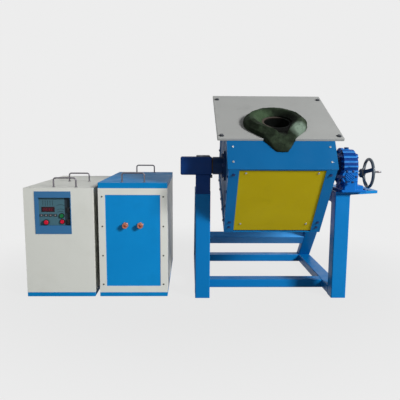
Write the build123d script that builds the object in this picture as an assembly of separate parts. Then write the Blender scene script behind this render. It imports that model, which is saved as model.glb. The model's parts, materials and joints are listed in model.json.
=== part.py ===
from build123d import *
from math import acos, atan2, cos, degrees, hypot, radians, sin, tan
import os

# Hand-tilted induction melting furnace with its power cabinet and its transformer cabinet.
# X runs to the right, Y to the back and Z up. The origin lies on the floor, in the middle of
# the underside of the tilting frame's front cross bar.

# Tilting frame
frame_width = 780.0
post_side = 75.0
post_wall = 4.0
post_height = 538.0
beam_width = 75.0
beam_height = 45.0
beam_wall = 3.0
tube_corner = 5.0
base_length = 845.0
front_bar_setback = 183.0
brace_angle = 46.4
upper_bar_height = 180.0

# Shelf of the tilting gearbox
shelf_thickness = 15.0
shelf_overhang = 165.0
shelf_depth = 400.0
shelf_corner_cut = 75.0

# Trunnion axis and the tilt in which the furnace stands
pivot_height = 680.0
rest_tilt = 24.5
journal_radius = 25.0
running_clearance = 0.05
side_clearance = 1.0
journal_end_gap = 2.0

# Left trunnion bearing
pedestal_step = 1.0
housing_height = 90.0
housing_outer_reach = 75.0
housing_inner_reach = 5.0
housing_corner = 8.0
bush_wall = 6.0
bush_length = 95.0
bush_flange_radius = 40.0
bush_flange_thickness = 5.0
bearing_cap_width = 68.0
bearing_cap_depth = 60.0
bearing_cap_height = 7.0
lock_bolt_across = 14.0
lock_bolt_length = 11.0
lock_bolt_drop = 54.0

# Furnace shell, measured from the trunnion axis with the furnace upright
shell_width = 490.0
shell_sheet = 4.0
shell_flange = 48.0
shell_top = 202.0
shell_bottom = -297.0
shell_rear = 412.0
shell_front_top = -135.0
nose_reach = -262.0
nose_height = 118.0
shell_front_bottom = -158.0
board_thickness = 8.0
board_lap = 20.0
panel_thickness = 3.0
band_width = 500.0
band_thickness = 3.0
bottom_plate_thickness = 4.0

# Cement top plate
plate_width = 586.0
plate_length = 556.0
plate_front = -140.0
plate_thickness = 12.0
plate_bolt_side_inset = 20.0
plate_bolt_front_inset = 28.0
plate_bolt_rear_inset = 60.0
plate_hole_radius = 130.0

# Fasteners of the furnace
shell_bolt_across = 11.0
shell_bolt_height = 5.0
plate_bolt_across = 12.0
washer_radius = 9.0
washer_thickness = 2.0
trunnion_bolt_across = 16.0
trunnion_bolt_height = 9.0
pan_radius = 5.0
pan_height = 3.0
side_bolt_pitch = 110.0
rear_bolt_levels = (-230.0, -80.0, 70.0, 160.0)

# Hearth: crucible, rammed lining and pouring collar
crucible_setback = 157.0
crucible_bore = 62.0
crucible_wall = 16.0
crucible_depth = 300.0
crucible_floor = 28.0
crucible_rim = 13.0
hearth_gap = 0.3
lining_wall = 22.0
lining_foot_radius = 150.0
lining_foot_height = 30.0
collar_shift = -8.0
collar_foot_radius = 154.0
collar_foot_half_width = 76.0
collar_wall_height = 20.0
collar_wall_radius = 151.0
collar_wall_half_width = 72.0
collar_crest_height = 40.0
collar_crest_radius = 127.0
collar_crest_setback = 10.0
collar_mouth_radius = 106.0
collar_lip_wall = 9.0
collar_lip_thickness = 2.0

# Pouring lip of the collar, across it from the collar's own middle, and its nose over the band
lip_left = -4.0
lip_right = 40.0
notch_left = 4.0
notch_right = 19.0
notch_floor_left = 18.0
notch_floor_right = 24.0
ridge_length = 45.0
ridge_drop = 24.0
nose_wall_height = 16.0
nose_run = 68.0
nose_tip_shift = 9.0
nose_tip_half_width = 27.0
nose_tip_height = 13.0
nose_tip_depth = 12.0
nose_gap = 0.5

# Induction coil
coil_turns = 8
coil_pitch = 28.0
coil_drop = 20.0
coil_tube_width = 12.0
coil_tube_height = 20.0
coil_gap = 0.8
terminal_radius = 11.0
terminal_wall = 4.0
terminal_flange = 22.0
terminal_reach = 44.0
coil_lead_width = 14.0
coil_lead_height = 18.0
coil_lead_joint = 4.0

# Trunnions on the shell
trunnion_flange_radius = 75.0
trunnion_flange_thickness = 10.0
trunnion_collar_radius = 44.0
trunnion_bolt_circle = 59.0
trunnion_bolt_count = 6

# Tilting gearbox, placed from the trunnion axis
gearbox_gap = 1.0
case_left = 43.0
case_right = 11.0
case_radius = 84.0
boss_reach = 24.0
boss_radius = 64.0
fin_count = 5
fin_pitch = 23.5
fin_thickness = 6.0
fin_reach = 89.0
fin_lowest = -72.0
output_cover_radius = 92.0
cover_thickness = 12.0
output_bore_depth = 92.0
worm_drop = 46.0
worm_offset = 31.0
worm_barrel_radius = 31.0
worm_barrel_reach = 94.0
worm_cover_radius = 36.0
gearbox_base_height = 34.0
gearbox_foot_height = 12.0
gearbox_foot_depth = 200.0
gearbox_foot_left = 55.0
gearbox_foot_right = 67.0
gearbox_foot_step = 14.0
plug_boss = 3.0
plug_boss_radius = 14.0
plug_across = 20.0
plug_height = 8.0
rib_stand = 3.0
fin_corner = 22.0
end_fin_step = 8.0
case_waist = 14.0
worm_cover_step = 12.0
cover_bolt_across = 13.0
cover_bolt_inset = 11.0
foot_bolt_across = 11.0

# Input stage and handwheel
input_setback = 75.0
input_drop = 40.0
input_stage_left = 14.0
input_stage_right = 57.0
input_stage_depth = 88.0
input_stage_bottom = -72.0
input_stage_top = 62.0
input_stage_shift = 3.0
input_shaft_radius = 9.0
input_shaft_engagement = 34.0
input_boss_radius = 26.0
input_boss_stand = 4.0
wheel_plane = 125.0
wheel_radius = 72.0
rim_radius = 8.0
hub_radius = 17.0
hub_start = 15.0
hub_length = 28.0
spoke_width = 20.0
spoke_thickness = 6.0
spoke_count = 3
spoke_angle = 20.0
grip_angle = 9.0
grip_length = 26.0
grip_radius = 4.5
grip_pin_radius = 2.0
grip_start = 10.0

# Cabinets
cabinet_width = 350.0
cabinet_depth = 800.0
cabinet_height = 565.0
cabinet_gap = 24.0
cabinet_frame_gap = 143.0
cabinet_setback = 30.0
cabinet_sheet = 2.0
plinth_height = 22.0
plinth_wall = 20.0
tray_thickness = 3.0
lid_height = 27.0
slot_count = 9
slot_margin = 85.0
slot_bottom = 350.0
slot_pitch = 18.0
slot_height = 7.0

# Lifting handles
handle_width = 114.0
handle_height = 47.0
handle_rod = 8.0
handle_bend = 12.0
power_handle_x = 198.0
power_handle_front = 50.0
power_handle_rear = 390.0
transformer_handle_inset = 42.0

# Control fascia of the power cabinet, measured from the cabinet's left lower corner
fascia_left = 55.0
fascia_bottom = 330.0
fascia_width = 183.0
fascia_height = 218.0
fascia_thickness = 2.0
recess_left = 73.0
recess_right = 234.0
recess_bottom = 373.0
recess_top = 516.0
recess_depth = 14.0
recess_wall = 1.5
recess_clearance = 0.5
display_width = 66.0
display_height = 26.0
display_x = 119.0
display_z = 455.0
key_width = 18.0
key_height = 12.0
key_pitch = 23.3
key_first_x = 84.0
key_z = 424.0
key_stand = 2.5
key_count = 4
button_clearance = 0.4
start_x = 187.0
start_z = 422.0
stop_x = 189.0
stop_z = 392.0
button_radius = 10.0
button_stand = 9.0
emergency_x = 110.0
emergency_z = 390.0
emergency_stem_radius = 9.0
emergency_head_radius = 15.0
emergency_stand = 10.0
bezel_wall = 3.5
bezel_height = 3.0
switch_depth = 30.0

# Front of the transformer cabinet
window_margin_side = 36.0
window_margin_bottom = 34.0
window_margin_top = 34.0
window_lap = 8.0
front_board_thickness = 5.0
screw_rows = 4
screw_inset = 20.0
screw_margin = 43.0
union_height = 376.0
union_spacing = 76.0
union_radius = 11.0
union_bore = 7.0
union_nut = 14.0
union_stand = 26.0
union_ring = 3.0
union_ring_length = 6.0
union_nut_length = 10.0

# Inside the cabinets
transformer_front_y = 170.0
cold_plate_width = 240.0
cold_plate_front = 150.0
cold_plate_rear = 650.0
cold_plate_height = 40.0
switch_block_height = 35.0
inverter_pitch = 150.0
link_can_radius = 38.0
link_can_height = 150.0
service_margin_side = 40.0
service_margin_end = 80.0
capacitor_height = 170.0
capacitor_width = 100.0
capacitor_depth = 95.0
capacitor_gap = 10.0
capacitor_rows = 3
capacitor_front = 420.0

pivot_y = -(front_bar_setback + beam_width / 2) + post_side / 2
post_front_y = pivot_y - post_side / 2
post_rear_y = pivot_y + post_side / 2
base_rear_y = post_front_y + base_length
post_x = (frame_width - post_side) / 2
bar_length = 2 * post_x - beam_width
cabinet_front_y = post_front_y + cabinet_setback
transformer_left_x = -frame_width / 2 - cabinet_frame_gap - cabinet_width
power_left_x = transformer_left_x - cabinet_gap - cabinet_width
shelf_top = post_height + shelf_thickness
plate_top = shell_top + plate_thickness
crucible_y = plate_front + crucible_setback
gearbox_foot_z = shelf_top - pivot_height
gearbox_offset = frame_width / 2 + gearbox_gap

nodes = {}


def tube(length, width, height, wall):
    """Rectangular tube that stands on the origin, width along X and height along Y."""
    outside = RectangleRounded(width, height, tube_corner)
    inside = Rectangle(width - 2 * wall, height - 2 * wall)
    return extrude(outside - inside, length)


def along_x(shape):
    """Turn a shape that stands along Z so that it runs along X."""
    return Rot(0, 90, 0) * shape


def along_y(shape):
    """Turn a shape that stands along Z so that it runs along Y."""
    return Rot(-90, 0, 0) * shape


def cylinder_x(radius, start, end):
    """Round bar on the X axis from start to end."""
    return Pos((start + end) / 2, 0, 0) * along_x(Cylinder(radius, end - start))


def cylinder_y(radius, start, end):
    """Round bar on the Y axis from start to end."""
    return Pos(0, (start + end) / 2, 0) * along_y(Cylinder(radius, end - start))


def block(x0, x1, y0, y1, z0, z1):
    """Box between two values on each axis."""
    return Pos((x0 + x1) / 2, (y0 + y1) / 2, (z0 + z1) / 2) * Box(x1 - x0, y1 - y0, z1 - z0)


def side_profile(points, width):
    """Solid of the given width along X from an outline of (y, z) points."""
    outline = Plane.YZ * make_face(Polyline(*points, close=True))
    return extrude(outline, width / 2, both=True)


def hex_head(across_flats, height):
    """Hexagon bolt head that stands on the origin along Z."""
    return extrude(RegularPolygon(across_flats / 2, 6, major_radius=False), height)


def group(shapes):
    """Separate solids that share one node."""
    return Compound(children=[solid for shape in shapes for solid in shape.solids()])


# Welded tilting frame

def posts():
    post = tube(post_height, post_side, post_side, post_wall)
    nodes["left_post"] = Pos(-post_x, pivot_y, 0) * post
    nodes["right_post"] = Pos(post_x, pivot_y, 0) * post


def capped_beam(length):
    """Beam that runs back from the origin, with a plate welded into its rear end."""
    beam = along_y(tube(length, beam_width, beam_height, beam_wall))
    return beam + block(-beam_width / 2 + beam_wall, beam_width / 2 - beam_wall,
                        length - beam_wall, length,
                        -beam_height / 2 + beam_wall, beam_height / 2 - beam_wall)


def base():
    """Two floor beams behind the posts, tied by a bar in front and one at the rear."""
    beam = capped_beam(base_rear_y - post_rear_y)
    nodes["base_beams"] = group(
        [Pos(side * post_x, post_rear_y, beam_height / 2) * beam for side in (-1, 1)]
    )
    bar = along_x(tube(bar_length, beam_height, beam_width, beam_wall))
    nodes["front_cross_bar"] = Pos(-bar_length / 2, 0, beam_height / 2) * bar
    rear_y = base_rear_y - beam_width / 2
    nodes["rear_cross_bar"] = Pos(-bar_length / 2, rear_y, beam_height / 2) * bar


brace_span = beam_height / sin(radians(brace_angle))
brace_foot_y = base_rear_y - brace_span / 2
brace_top_z = post_height - beam_height
brace_top_y = brace_foot_y - (brace_top_z - beam_height) / tan(radians(brace_angle))
top_beam_rear_y = brace_top_y + brace_span / 2


def braces():
    """Braces cut level at both ends, from the rear of the base up to the top beams."""
    lean = 90 - brace_angle
    length = (brace_top_z + beam_height) / sin(radians(brace_angle))
    long_tube = Rot(lean, 0, 0) * Pos(0, 0, -beam_height) * tube(
        length, beam_width, beam_height, beam_wall
    )
    slab = block(-beam_width, beam_width, -length, length, 0, brace_top_z - beam_height)
    brace = long_tube & slab
    nodes["braces"] = group(
        [Pos(side * post_x, brace_foot_y, beam_height) * brace for side in (-1, 1)]
    )
    bar_y = brace_foot_y - (upper_bar_height - beam_height) / tan(radians(brace_angle))
    bar = along_x(tube(bar_length, beam_width, beam_height, beam_wall))
    nodes["upper_cross_bar"] = (
        Pos(-bar_length / 2, bar_y, upper_bar_height) * Rot(lean, 0, 0) * bar
    )


def top_beams():
    beam = capped_beam(top_beam_rear_y - post_rear_y)
    height = post_height - beam_height / 2
    nodes["top_beams"] = group(
        [Pos(side * post_x, post_rear_y, height) * beam for side in (-1, 1)]
    )


def gearbox_shelf():
    """Plate on the right post and top beam, with its outer front corner cut back."""
    inner = frame_width / 2 - post_side
    middle = frame_width / 2
    outer = middle + shelf_overhang
    rear = post_front_y + shelf_depth
    outline = Polyline(
        (inner, post_front_y),
        (middle, post_front_y),
        (outer, post_front_y + shelf_corner_cut),
        (outer, rear),
        (inner, rear),
        close=True,
    )
    nodes["gearbox_shelf"] = Pos(0, 0, post_height) * extrude(make_face(outline), shelf_thickness)


# Left trunnion bearing

def left_bearing():
    """Square housing on a pedestal, with a flanged bush, a cap on top and a lock bolt below."""
    centre_x = -post_x
    foot = block(-post_side / 2, post_side / 2, -post_side / 2, post_side / 2, 0, shelf_thickness)
    stem_side = post_side - 2 * pedestal_step
    stem_height = pivot_height - housing_height / 2 - post_height - shelf_thickness
    stem = Pos(0, 0, shelf_thickness) * tube(stem_height, stem_side, stem_side, post_wall)
    nodes["bearing_pedestal"] = Pos(centre_x, pivot_y, post_height) * (foot + stem)

    outer_x = -frame_width / 2 - housing_outer_reach
    inner_x = -frame_width / 2 + post_side + housing_inner_reach
    section = RectangleRounded(housing_height, post_side, housing_corner)
    body = Pos(outer_x, 0, 0) * along_x(extrude(section, inner_x - outer_x))
    body = fillet(body.faces().sort_by(Axis.X)[0].edges(), housing_corner - 1)
    bush_radius = journal_radius + running_clearance + bush_wall
    bore_end = inner_x - bush_length
    housing = body - cylinder_x(bush_radius, bore_end, inner_x)
    at_axis = Pos(0, pivot_y, pivot_height)
    nodes["bearing_housing"] = at_axis * housing

    sleeve = cylinder_x(bush_radius, bore_end, inner_x)
    flange = cylinder_x(bush_flange_radius, inner_x, inner_x + bush_flange_thickness)
    hole = cylinder_x(journal_radius + running_clearance, bore_end, inner_x + bush_flange_thickness)
    nodes["bearing_bush"] = at_axis * (sleeve + flange - hole)

    cap = extrude(RectangleRounded(bearing_cap_width, bearing_cap_depth, housing_corner),
                  bearing_cap_height)
    cap = chamfer(cap.faces().sort_by(Axis.Z)[-1].edges(), 2)
    cap_z = pivot_height + housing_height / 2
    cap = Pos(centre_x, pivot_y, cap_z) * cap
    lock_bolt = along_x(hex_head(lock_bolt_across, lock_bolt_length))
    stem_face = centre_x + stem_side / 2
    nodes["bearing_cap"] = group(
        [cap, Pos(stem_face, pivot_y, pivot_height - lock_bolt_drop) * lock_bolt])
    return inner_x + bush_flange_thickness


# Furnace shell

front_top = (shell_front_top, shell_top)
nose = (nose_reach, nose_height)
front_bottom = (shell_front_bottom, shell_bottom)
rear_bottom = (shell_rear, shell_bottom)
rear_top = (shell_rear, shell_top)
shell_outline = [front_top, nose, front_bottom, rear_bottom, rear_top]


def tilted(shape):
    """Hang an upright furnace piece on the trunnion axis at the tilt it stands in."""
    return Pos(0, pivot_y, pivot_height) * Rot(rest_tilt, 0, 0) * shape


def inset_outline(distance):
    """Outline of the shell's side, moved inwards on every edge."""
    count = len(shell_outline)
    moved = []
    for index in range(count):
        y0, z0 = shell_outline[index]
        y1, z1 = shell_outline[(index + 1) % count]
        length = hypot(y1 - y0, z1 - z0)
        along = ((y1 - y0) / length, (z1 - z0) / length)
        inward = (-along[1], along[0])
        moved.append(((y0 + inward[0] * distance, z0 + inward[1] * distance), along))
    corners = []
    for index in range(count):
        (ya, za), (ua, va) = moved[index - 1]
        (yb, zb), (ub, vb) = moved[index]
        cross = ua * vb - va * ub
        step = ((yb - ya) * vb - (zb - za) * ub) / cross
        corners.append((ya + ua * step, za + va * step))
    return corners


def face_frame(start, end):
    """Place a flat piece on a face of the shell: X across, Y up the face, Z outwards."""
    rise = degrees(atan2(start[1] - end[1], start[0] - end[0]))
    middle = ((start[0] + end[0]) / 2, (start[1] + end[1]) / 2)
    return Pos(0, middle[0], middle[1]) * Rot(rise, 0, 0)


def face_length(start, end):
    return hypot(end[0] - start[0], end[1] - start[1])


band_place = face_frame(front_top, nose)
band_length = face_length(front_top, nose)
board_place = face_frame(nose, front_bottom)
board_length = face_length(nose, front_bottom)
window_half = shell_width / 2 - shell_flange
panel_face = shell_width / 2 - shell_sheet


def shell_frame():
    """Welded angle frame: a folded shell with every face cut open inside its flanges."""
    outside = side_profile(shell_outline, shell_width)
    inside = side_profile(inset_outline(shell_sheet), shell_width - 2 * shell_sheet)
    side_window = side_profile(inset_outline(shell_flange), shell_width + 2)
    depth = shell_rear - shell_front_bottom
    height = shell_top - shell_bottom
    top_window = block(-window_half, window_half, shell_front_top + shell_flange,
                       shell_rear - shell_flange, shell_top - shell_flange / 2, shell_top + 1)
    floor_window = block(-window_half, window_half, shell_front_bottom + shell_flange,
                         shell_rear - shell_flange, shell_bottom - 1, shell_bottom + shell_flange / 2)
    rear_window = block(-window_half, window_half, shell_rear - depth / 4, shell_rear + 1,
                        shell_bottom + shell_flange, shell_top - shell_flange)
    front_window = board_place * Box(2 * window_half, board_length - 2 * shell_sheet, height / 8)
    band_window = band_place * Box(2 * window_half, band_length - shell_flange, height / 8)
    neck_hole = Pos(0, crucible_y, shell_top) * Cylinder(plate_hole_radius, shell_flange)
    frame = outside - inside - side_window - top_window - floor_window - neck_hole
    nodes["shell_frame"] = tilted(frame - rear_window - front_window - band_window)


def shell_panels():
    """Boards and sheets behind the flanges, and the band over the sloping front."""
    board_width = 2 * (window_half + board_lap)
    front_face = inset_outline(shell_sheet)
    board_at = face_frame(front_face[1], front_face[2])
    front_length = face_length(front_face[1], front_face[2]) - 2 * board_thickness
    board = Pos(0, 0, -board_thickness / 2) * Box(board_width, front_length, board_thickness)
    nodes["front_board"] = tilted(board_at * board)

    panel = side_profile(inset_outline(shell_flange - board_lap), panel_thickness)
    panel_x = panel_face - panel_thickness / 2
    nodes["side_panels"] = group([tilted(Pos(side * panel_x, 0, 0) * panel) for side in (-1, 1)])

    rear_face = shell_rear - shell_sheet
    lap = shell_flange - board_lap
    coil_hole = Pos(0, rear_face, 0) * along_y(Cylinder(coil_hole_radius, 4 * board_thickness))
    rear_board = block(-board_width / 2, board_width / 2, rear_face - board_thickness, rear_face,
                       shell_bottom + lap, shell_top - lap)
    for level in coil_levels:
        rear_board -= Pos(0, 0, level) * coil_hole
    nodes["rear_board"] = tilted(rear_board)

    floor = shell_bottom + shell_sheet
    nodes["bottom_plate"] = tilted(block(-board_width / 2, board_width / 2,
                                         shell_front_bottom + lap, shell_rear - lap,
                                         floor, floor + bottom_plate_thickness))

    band = Pos(0, 0, band_thickness / 2) * Box(band_width, band_length, band_thickness)
    band = fillet(band.edges().filter_by(Axis.Z), 3)
    over_top = block(-plate_width / 2, plate_width / 2, plate_front, shell_rear,
                     shell_top, shell_top + band_length)
    nodes["front_band"] = tilted(band_place * band - over_top)


def top_plate():
    rear = plate_front + plate_length
    plate = block(-plate_width / 2, plate_width / 2, plate_front, rear, shell_top, plate_top)
    plate = fillet(plate.edges().filter_by(Axis.Z), 4)
    hole = Pos(0, crucible_y, shell_top) * Cylinder(plate_hole_radius, 3 * plate_thickness)
    nodes["top_plate"] = tilted(plate - hole)


def plate_bolts():
    """Washer and hexagon head near each corner of the top plate."""
    reach = plate_width / 2 - plate_bolt_side_inset
    ends = (plate_front + plate_bolt_front_inset, plate_front + plate_length - plate_bolt_rear_inset)
    washer = Cylinder(washer_radius, washer_thickness, align=(Align.CENTER, Align.CENTER, Align.MIN))
    bolt = washer + Pos(0, 0, washer_thickness) * hex_head(plate_bolt_across, shell_bolt_height)
    return [Pos(side * reach, along, plate_top) * bolt for side in (-1, 1) for along in ends]


def shell_fasteners():
    """Hexagon bolts on the flanges, and round screw heads on the band and the board."""
    bolts = plate_bolts()
    head = hex_head(shell_bolt_across, shell_bolt_height)
    strip = shell_width / 2 - shell_flange / 2
    top_end = board_length / 2
    for side in (-1, 1):
        for along in (top_end - 32, -top_end + 74, -top_end + 38):
            bolts.append(board_place * Pos(side * strip, along, 0) * head)
        rear_place = Pos(0, shell_rear, 0) * Rot(-90, 0, 0)
        for level in rear_bolt_levels:
            bolts.append(rear_place * Pos(side * strip, -level, 0) * head)
        side_place = Pos(side * shell_width / 2, 0, 0) * Rot(0, side * 90, 0)
        side_line = inset_outline(shell_flange / 2)
        for start, end in zip(side_line, side_line[1:] + side_line[:1]):
            steps = max(2, round(face_length(start, end) / side_bolt_pitch))
            for step in range(steps):
                share = (step + 0.5) / steps
                y = start[0] + (end[0] - start[0]) * share
                z = start[1] + (end[1] - start[1]) * share
                bolts.append(side_place * Pos(-side * z, y, 0) * head)
        flange_face = panel_face + trunnion_flange_thickness
        flange_place = Pos(side * flange_face, 0, 0) * Rot(0, side * 90, 0)
        for spot in PolarLocations(trunnion_bolt_circle, trunnion_bolt_count):
            bolts.append(flange_place * spot * hex_head(trunnion_bolt_across, trunnion_bolt_height))
    nodes["shell_bolts"] = group([tilted(bolt) for bolt in bolts])

    screws = []
    pan = Cylinder(pan_radius, pan_height, align=(Align.CENTER, Align.CENTER, Align.MIN))
    for side in (-1, 1):
        for along in (-band_length / 2 + 38, band_length / 2 - 36):
            screws.append(band_place * Pos(side * (band_width / 2 - 27), along, band_thickness) * pan)
        for along in (-board_length / 2 + 60, board_length / 2 - 24):
            screws.append(board_place * Pos(side * (window_half - 32), along, -shell_sheet) * pan)
    nodes["panel_screws"] = group([tilted(screw) for screw in screws])


# Hearth

crucible_outer = crucible_bore + crucible_wall
crucible_top = plate_top + crucible_rim
crucible_inner_floor = crucible_top - crucible_depth
crucible_base = crucible_inner_floor - crucible_floor
lining_bore = crucible_outer + hearth_gap
lining_outer = lining_bore + lining_wall
coil_radius = lining_outer + coil_gap + coil_tube_width / 2
coil_bottom = crucible_inner_floor - coil_drop
coil_height = coil_turns * coil_pitch
coil_levels = (coil_bottom, coil_bottom + coil_height)
coil_hole_radius = terminal_radius + 0.5


def revolved(points):
    """Turn an outline of (radius, height) points round the crucible's axis."""
    outline = make_face(Plane.XZ * Polyline(*points, close=True))
    return Pos(0, crucible_y, 0) * revolve(outline, Axis.Z)


def crucible():
    """Deep round pot with a rounded inner floor and a thin bevelled rim."""
    outside = revolved([
        (0, crucible_base),
        (crucible_outer - 14, crucible_base),
        (crucible_outer, crucible_base + 14),
        (crucible_outer, crucible_top),
        (0, crucible_top),
    ])
    well = Pos(0, crucible_y, (crucible_inner_floor + crucible_top + 10) / 2) * Cylinder(
        crucible_bore, crucible_top + 10 - crucible_inner_floor)
    well = fillet(well.edges().sort_by(Axis.Z)[0], 30)
    nodes["crucible"] = tilted(outside - well)


def refractory_lining():
    """Rammed lining: a wide foot, a sleeve round the crucible and a collar in the top plate."""
    foot_bottom = shell_bottom + shell_sheet + bottom_plate_thickness
    foot_top = foot_bottom + lining_foot_height
    neck = plate_hole_radius - hearth_gap
    nodes["refractory_lining"] = tilted(revolved([
        (0, foot_bottom),
        (lining_foot_radius, foot_bottom),
        (lining_foot_radius, foot_top),
        (lining_outer, foot_top + 30),
        (lining_outer, shell_top - 22),
        (neck, shell_top - 4),
        (neck, plate_top),
        (lining_bore, plate_top),
        (lining_bore, crucible_base),
        (0, crucible_base),
    ]))


def teardrop(height, radius, reach, left, right):
    """Outline round the crucible: an arc at the back, straight sides and a straight front end."""
    def side(x, turn):
        start = atan2(-reach, x) + turn * acos(radius / hypot(x, reach))
        return (radius * cos(start), radius * sin(start))

    right_start = side(right, 1)
    left_start = side(left, -1)
    outline = ThreePointArc(right_start, (0, radius), left_start)
    outline += Polyline(left_start, (left, -reach), (right, -reach), right_start)
    return Pos(collar_shift, crucible_y, height) * make_face(outline)


def across(x, y, points):
    """Face that stands across the furnace at the given place, from (x, z) points."""
    place = Plane((x, y, 0), x_dir=(1, 0, 0), z_dir=(0, -1, 0))
    return place * make_face(Polyline(*points, close=True))


def collar_nose():
    """Faceted nose that runs from the collar's lip over the plate's edge and down the band."""
    foot = collar_foot_half_width
    under = plate_top - 2 * nose_tip_height
    root = across(collar_shift, plate_front + 1, [
        (-foot, under),
        (-foot, plate_top),
        (2 - collar_wall_half_width, plate_top + nose_wall_height),
        (collar_wall_half_width - 2, plate_top + nose_wall_height),
        (foot, plate_top),
        (foot, under),
    ])
    share = nose_run / band_length
    tip_y = shell_front_top + (nose_reach - shell_front_top) * share
    tip_z = shell_top + (nose_height - shell_top) * share
    half = nose_tip_half_width
    tip = across(collar_shift + nose_tip_shift, tip_y, [
        (-half, tip_z - nose_tip_depth),
        (-half, tip_z + nose_tip_height / 3),
        (-half * 0.8, tip_z + nose_tip_height),
        (half * 0.8, tip_z + nose_tip_height),
        (half, tip_z + nose_tip_height / 3),
        (half, tip_z - nose_tip_depth),
    ])
    return loft([root, tip], ruled=True)


def pouring_collar():
    """Rammed jug-shaped collar: a funnel mouth, a notched lip and a nose over the front band."""
    step = crucible_top + hearth_gap
    crest = plate_top + collar_crest_height
    to_edge = crucible_y - plate_front
    foot = collar_foot_half_width
    wall = collar_wall_half_width
    body = loft([
        teardrop(plate_top, collar_foot_radius, to_edge, -foot, foot),
        teardrop(plate_top + collar_wall_height, collar_wall_radius, to_edge, -wall, wall),
        teardrop(crest, collar_crest_radius, to_edge - collar_crest_setback, lip_left, lip_right),
    ], ruled=True)
    fall = degrees(atan2(ridge_drop, ridge_length))
    ridge_cut = Box(collar_foot_radius, 3 * ridge_length, ridge_length,
                    align=(Align.MIN, Align.CENTER, Align.MIN))
    body -= Pos(collar_shift + notch_right, plate_front + ridge_length, crest) * Rot(fall, 0, 0) * (
        ridge_cut & block(0, collar_foot_radius, -3 * ridge_length, 0, 0, ridge_length))
    body += collar_nose()
    lip_radius = crucible_bore + collar_lip_wall
    over_edge = to_edge + 2 * collar_crest_setback
    funnel = loft([
        teardrop(step + collar_lip_thickness, lip_radius, over_edge, notch_floor_left,
                 notch_floor_right),
        teardrop(crest + 1, collar_mouth_radius, over_edge, notch_left, notch_right),
    ], ruled=True)
    start = (Align.CENTER, Align.CENTER, Align.MIN)
    lip_bore = Pos(0, crucible_y, 0) * Cylinder(lip_radius, 2 * step, align=start)
    neck = Pos(0, crucible_y, 0) * Cylinder(lining_bore, step, align=start)
    under_plate = block(-plate_width / 2, plate_width / 2, plate_front - nose_gap, shell_rear,
                        shell_bottom, plate_top)
    over_band = band_place * Pos(0, 0, (band_thickness + nose_gap) / 2) * Box(
        band_width, band_length + 2 * shell_flange, band_thickness + nose_gap)
    collar = body - funnel - lip_bore - neck - under_plate - over_band
    collar -= side_profile(shell_outline, shell_width)
    nodes["pouring_collar"] = tilted(collar.solids().sort_by(SortBy.VOLUME)[-1])


def induction_coil():
    """Square-tube helix round the lining, led straight back to two terminals in the rear board."""
    path = Helix(coil_pitch, coil_height, coil_radius)
    start = Plane(path @ 0, x_dir=(1, 0, 0), z_dir=path % 0)
    section = start * Rectangle(coil_tube_width, coil_tube_height)
    helix = sweep(section, path, is_frenet=True)
    helix = Pos(0, crucible_y, coil_bottom) * Rot(0, 0, 90) * helix
    coil = helix
    lead_end = shell_rear - shell_sheet - board_thickness - 2 * terminal_wall
    for level in coil_levels:
        coil += block(-coil_lead_width / 2, coil_lead_width / 2,
                      crucible_y + coil_radius - coil_lead_joint, lead_end,
                      level - coil_lead_height / 2, level + coil_lead_height / 2)
    nodes["induction_coil"] = tilted(coil)
    terminals = []
    board_face = shell_rear - shell_sheet
    for level in coil_levels:
        stud = cylinder_y(terminal_radius, lead_end, board_face + terminal_reach)
        flange = block(-terminal_flange, terminal_flange, board_face, board_face + terminal_wall,
                       -terminal_flange, terminal_flange)
        nut = Pos(0, board_face + terminal_wall, 0) * Rot(-90, 0, 0) * hex_head(30, 10)
        bore = cylinder_y(terminal_radius - terminal_wall, board_face, board_face + terminal_reach + 1)
        terminals.append(tilted(Pos(0, 0, level) * (stud + flange + nut - bore)))
    nodes["coil_terminals"] = group(terminals)


# Trunnions

def trunnions(left_limit, right_limit):
    """Bolted flanges with a thick collar and a journal, one on each side of the shell."""
    flange_end = panel_face + trunnion_flange_thickness
    left = cylinder_x(trunnion_flange_radius, -flange_end, -panel_face)
    left += cylinder_x(trunnion_collar_radius, left_limit + side_clearance, -flange_end)
    journal_end = left_limit - bush_flange_thickness - bush_length + journal_end_gap
    left += cylinder_x(journal_radius, journal_end, left_limit + side_clearance)
    nodes["left_trunnion"] = tilted(left)

    right = cylinder_x(trunnion_flange_radius, panel_face, flange_end)
    right += cylinder_x(trunnion_collar_radius, flange_end, right_limit - side_clearance)
    shaft_end = right_limit + output_bore_depth - journal_end_gap
    right += cylinder_x(journal_radius, right_limit - side_clearance, shaft_end)
    nodes["right_trunnion"] = tilted(right)


# Tilting gearbox, built round the point where the output axis crosses the wheel's middle plane

gearbox_place = Pos(gearbox_offset, pivot_y, pivot_height)
input_boss_face = input_stage_right + input_boss_stand


def input_stage_space():
    """Room that the first stage takes out of the wheel case's rear right quarter."""
    front = input_setback + input_stage_shift - input_stage_depth / 2
    return block(input_stage_left, 2 * input_stage_right, front, front + 2 * input_stage_depth,
                 input_stage_bottom, input_stage_top + case_radius)


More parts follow.
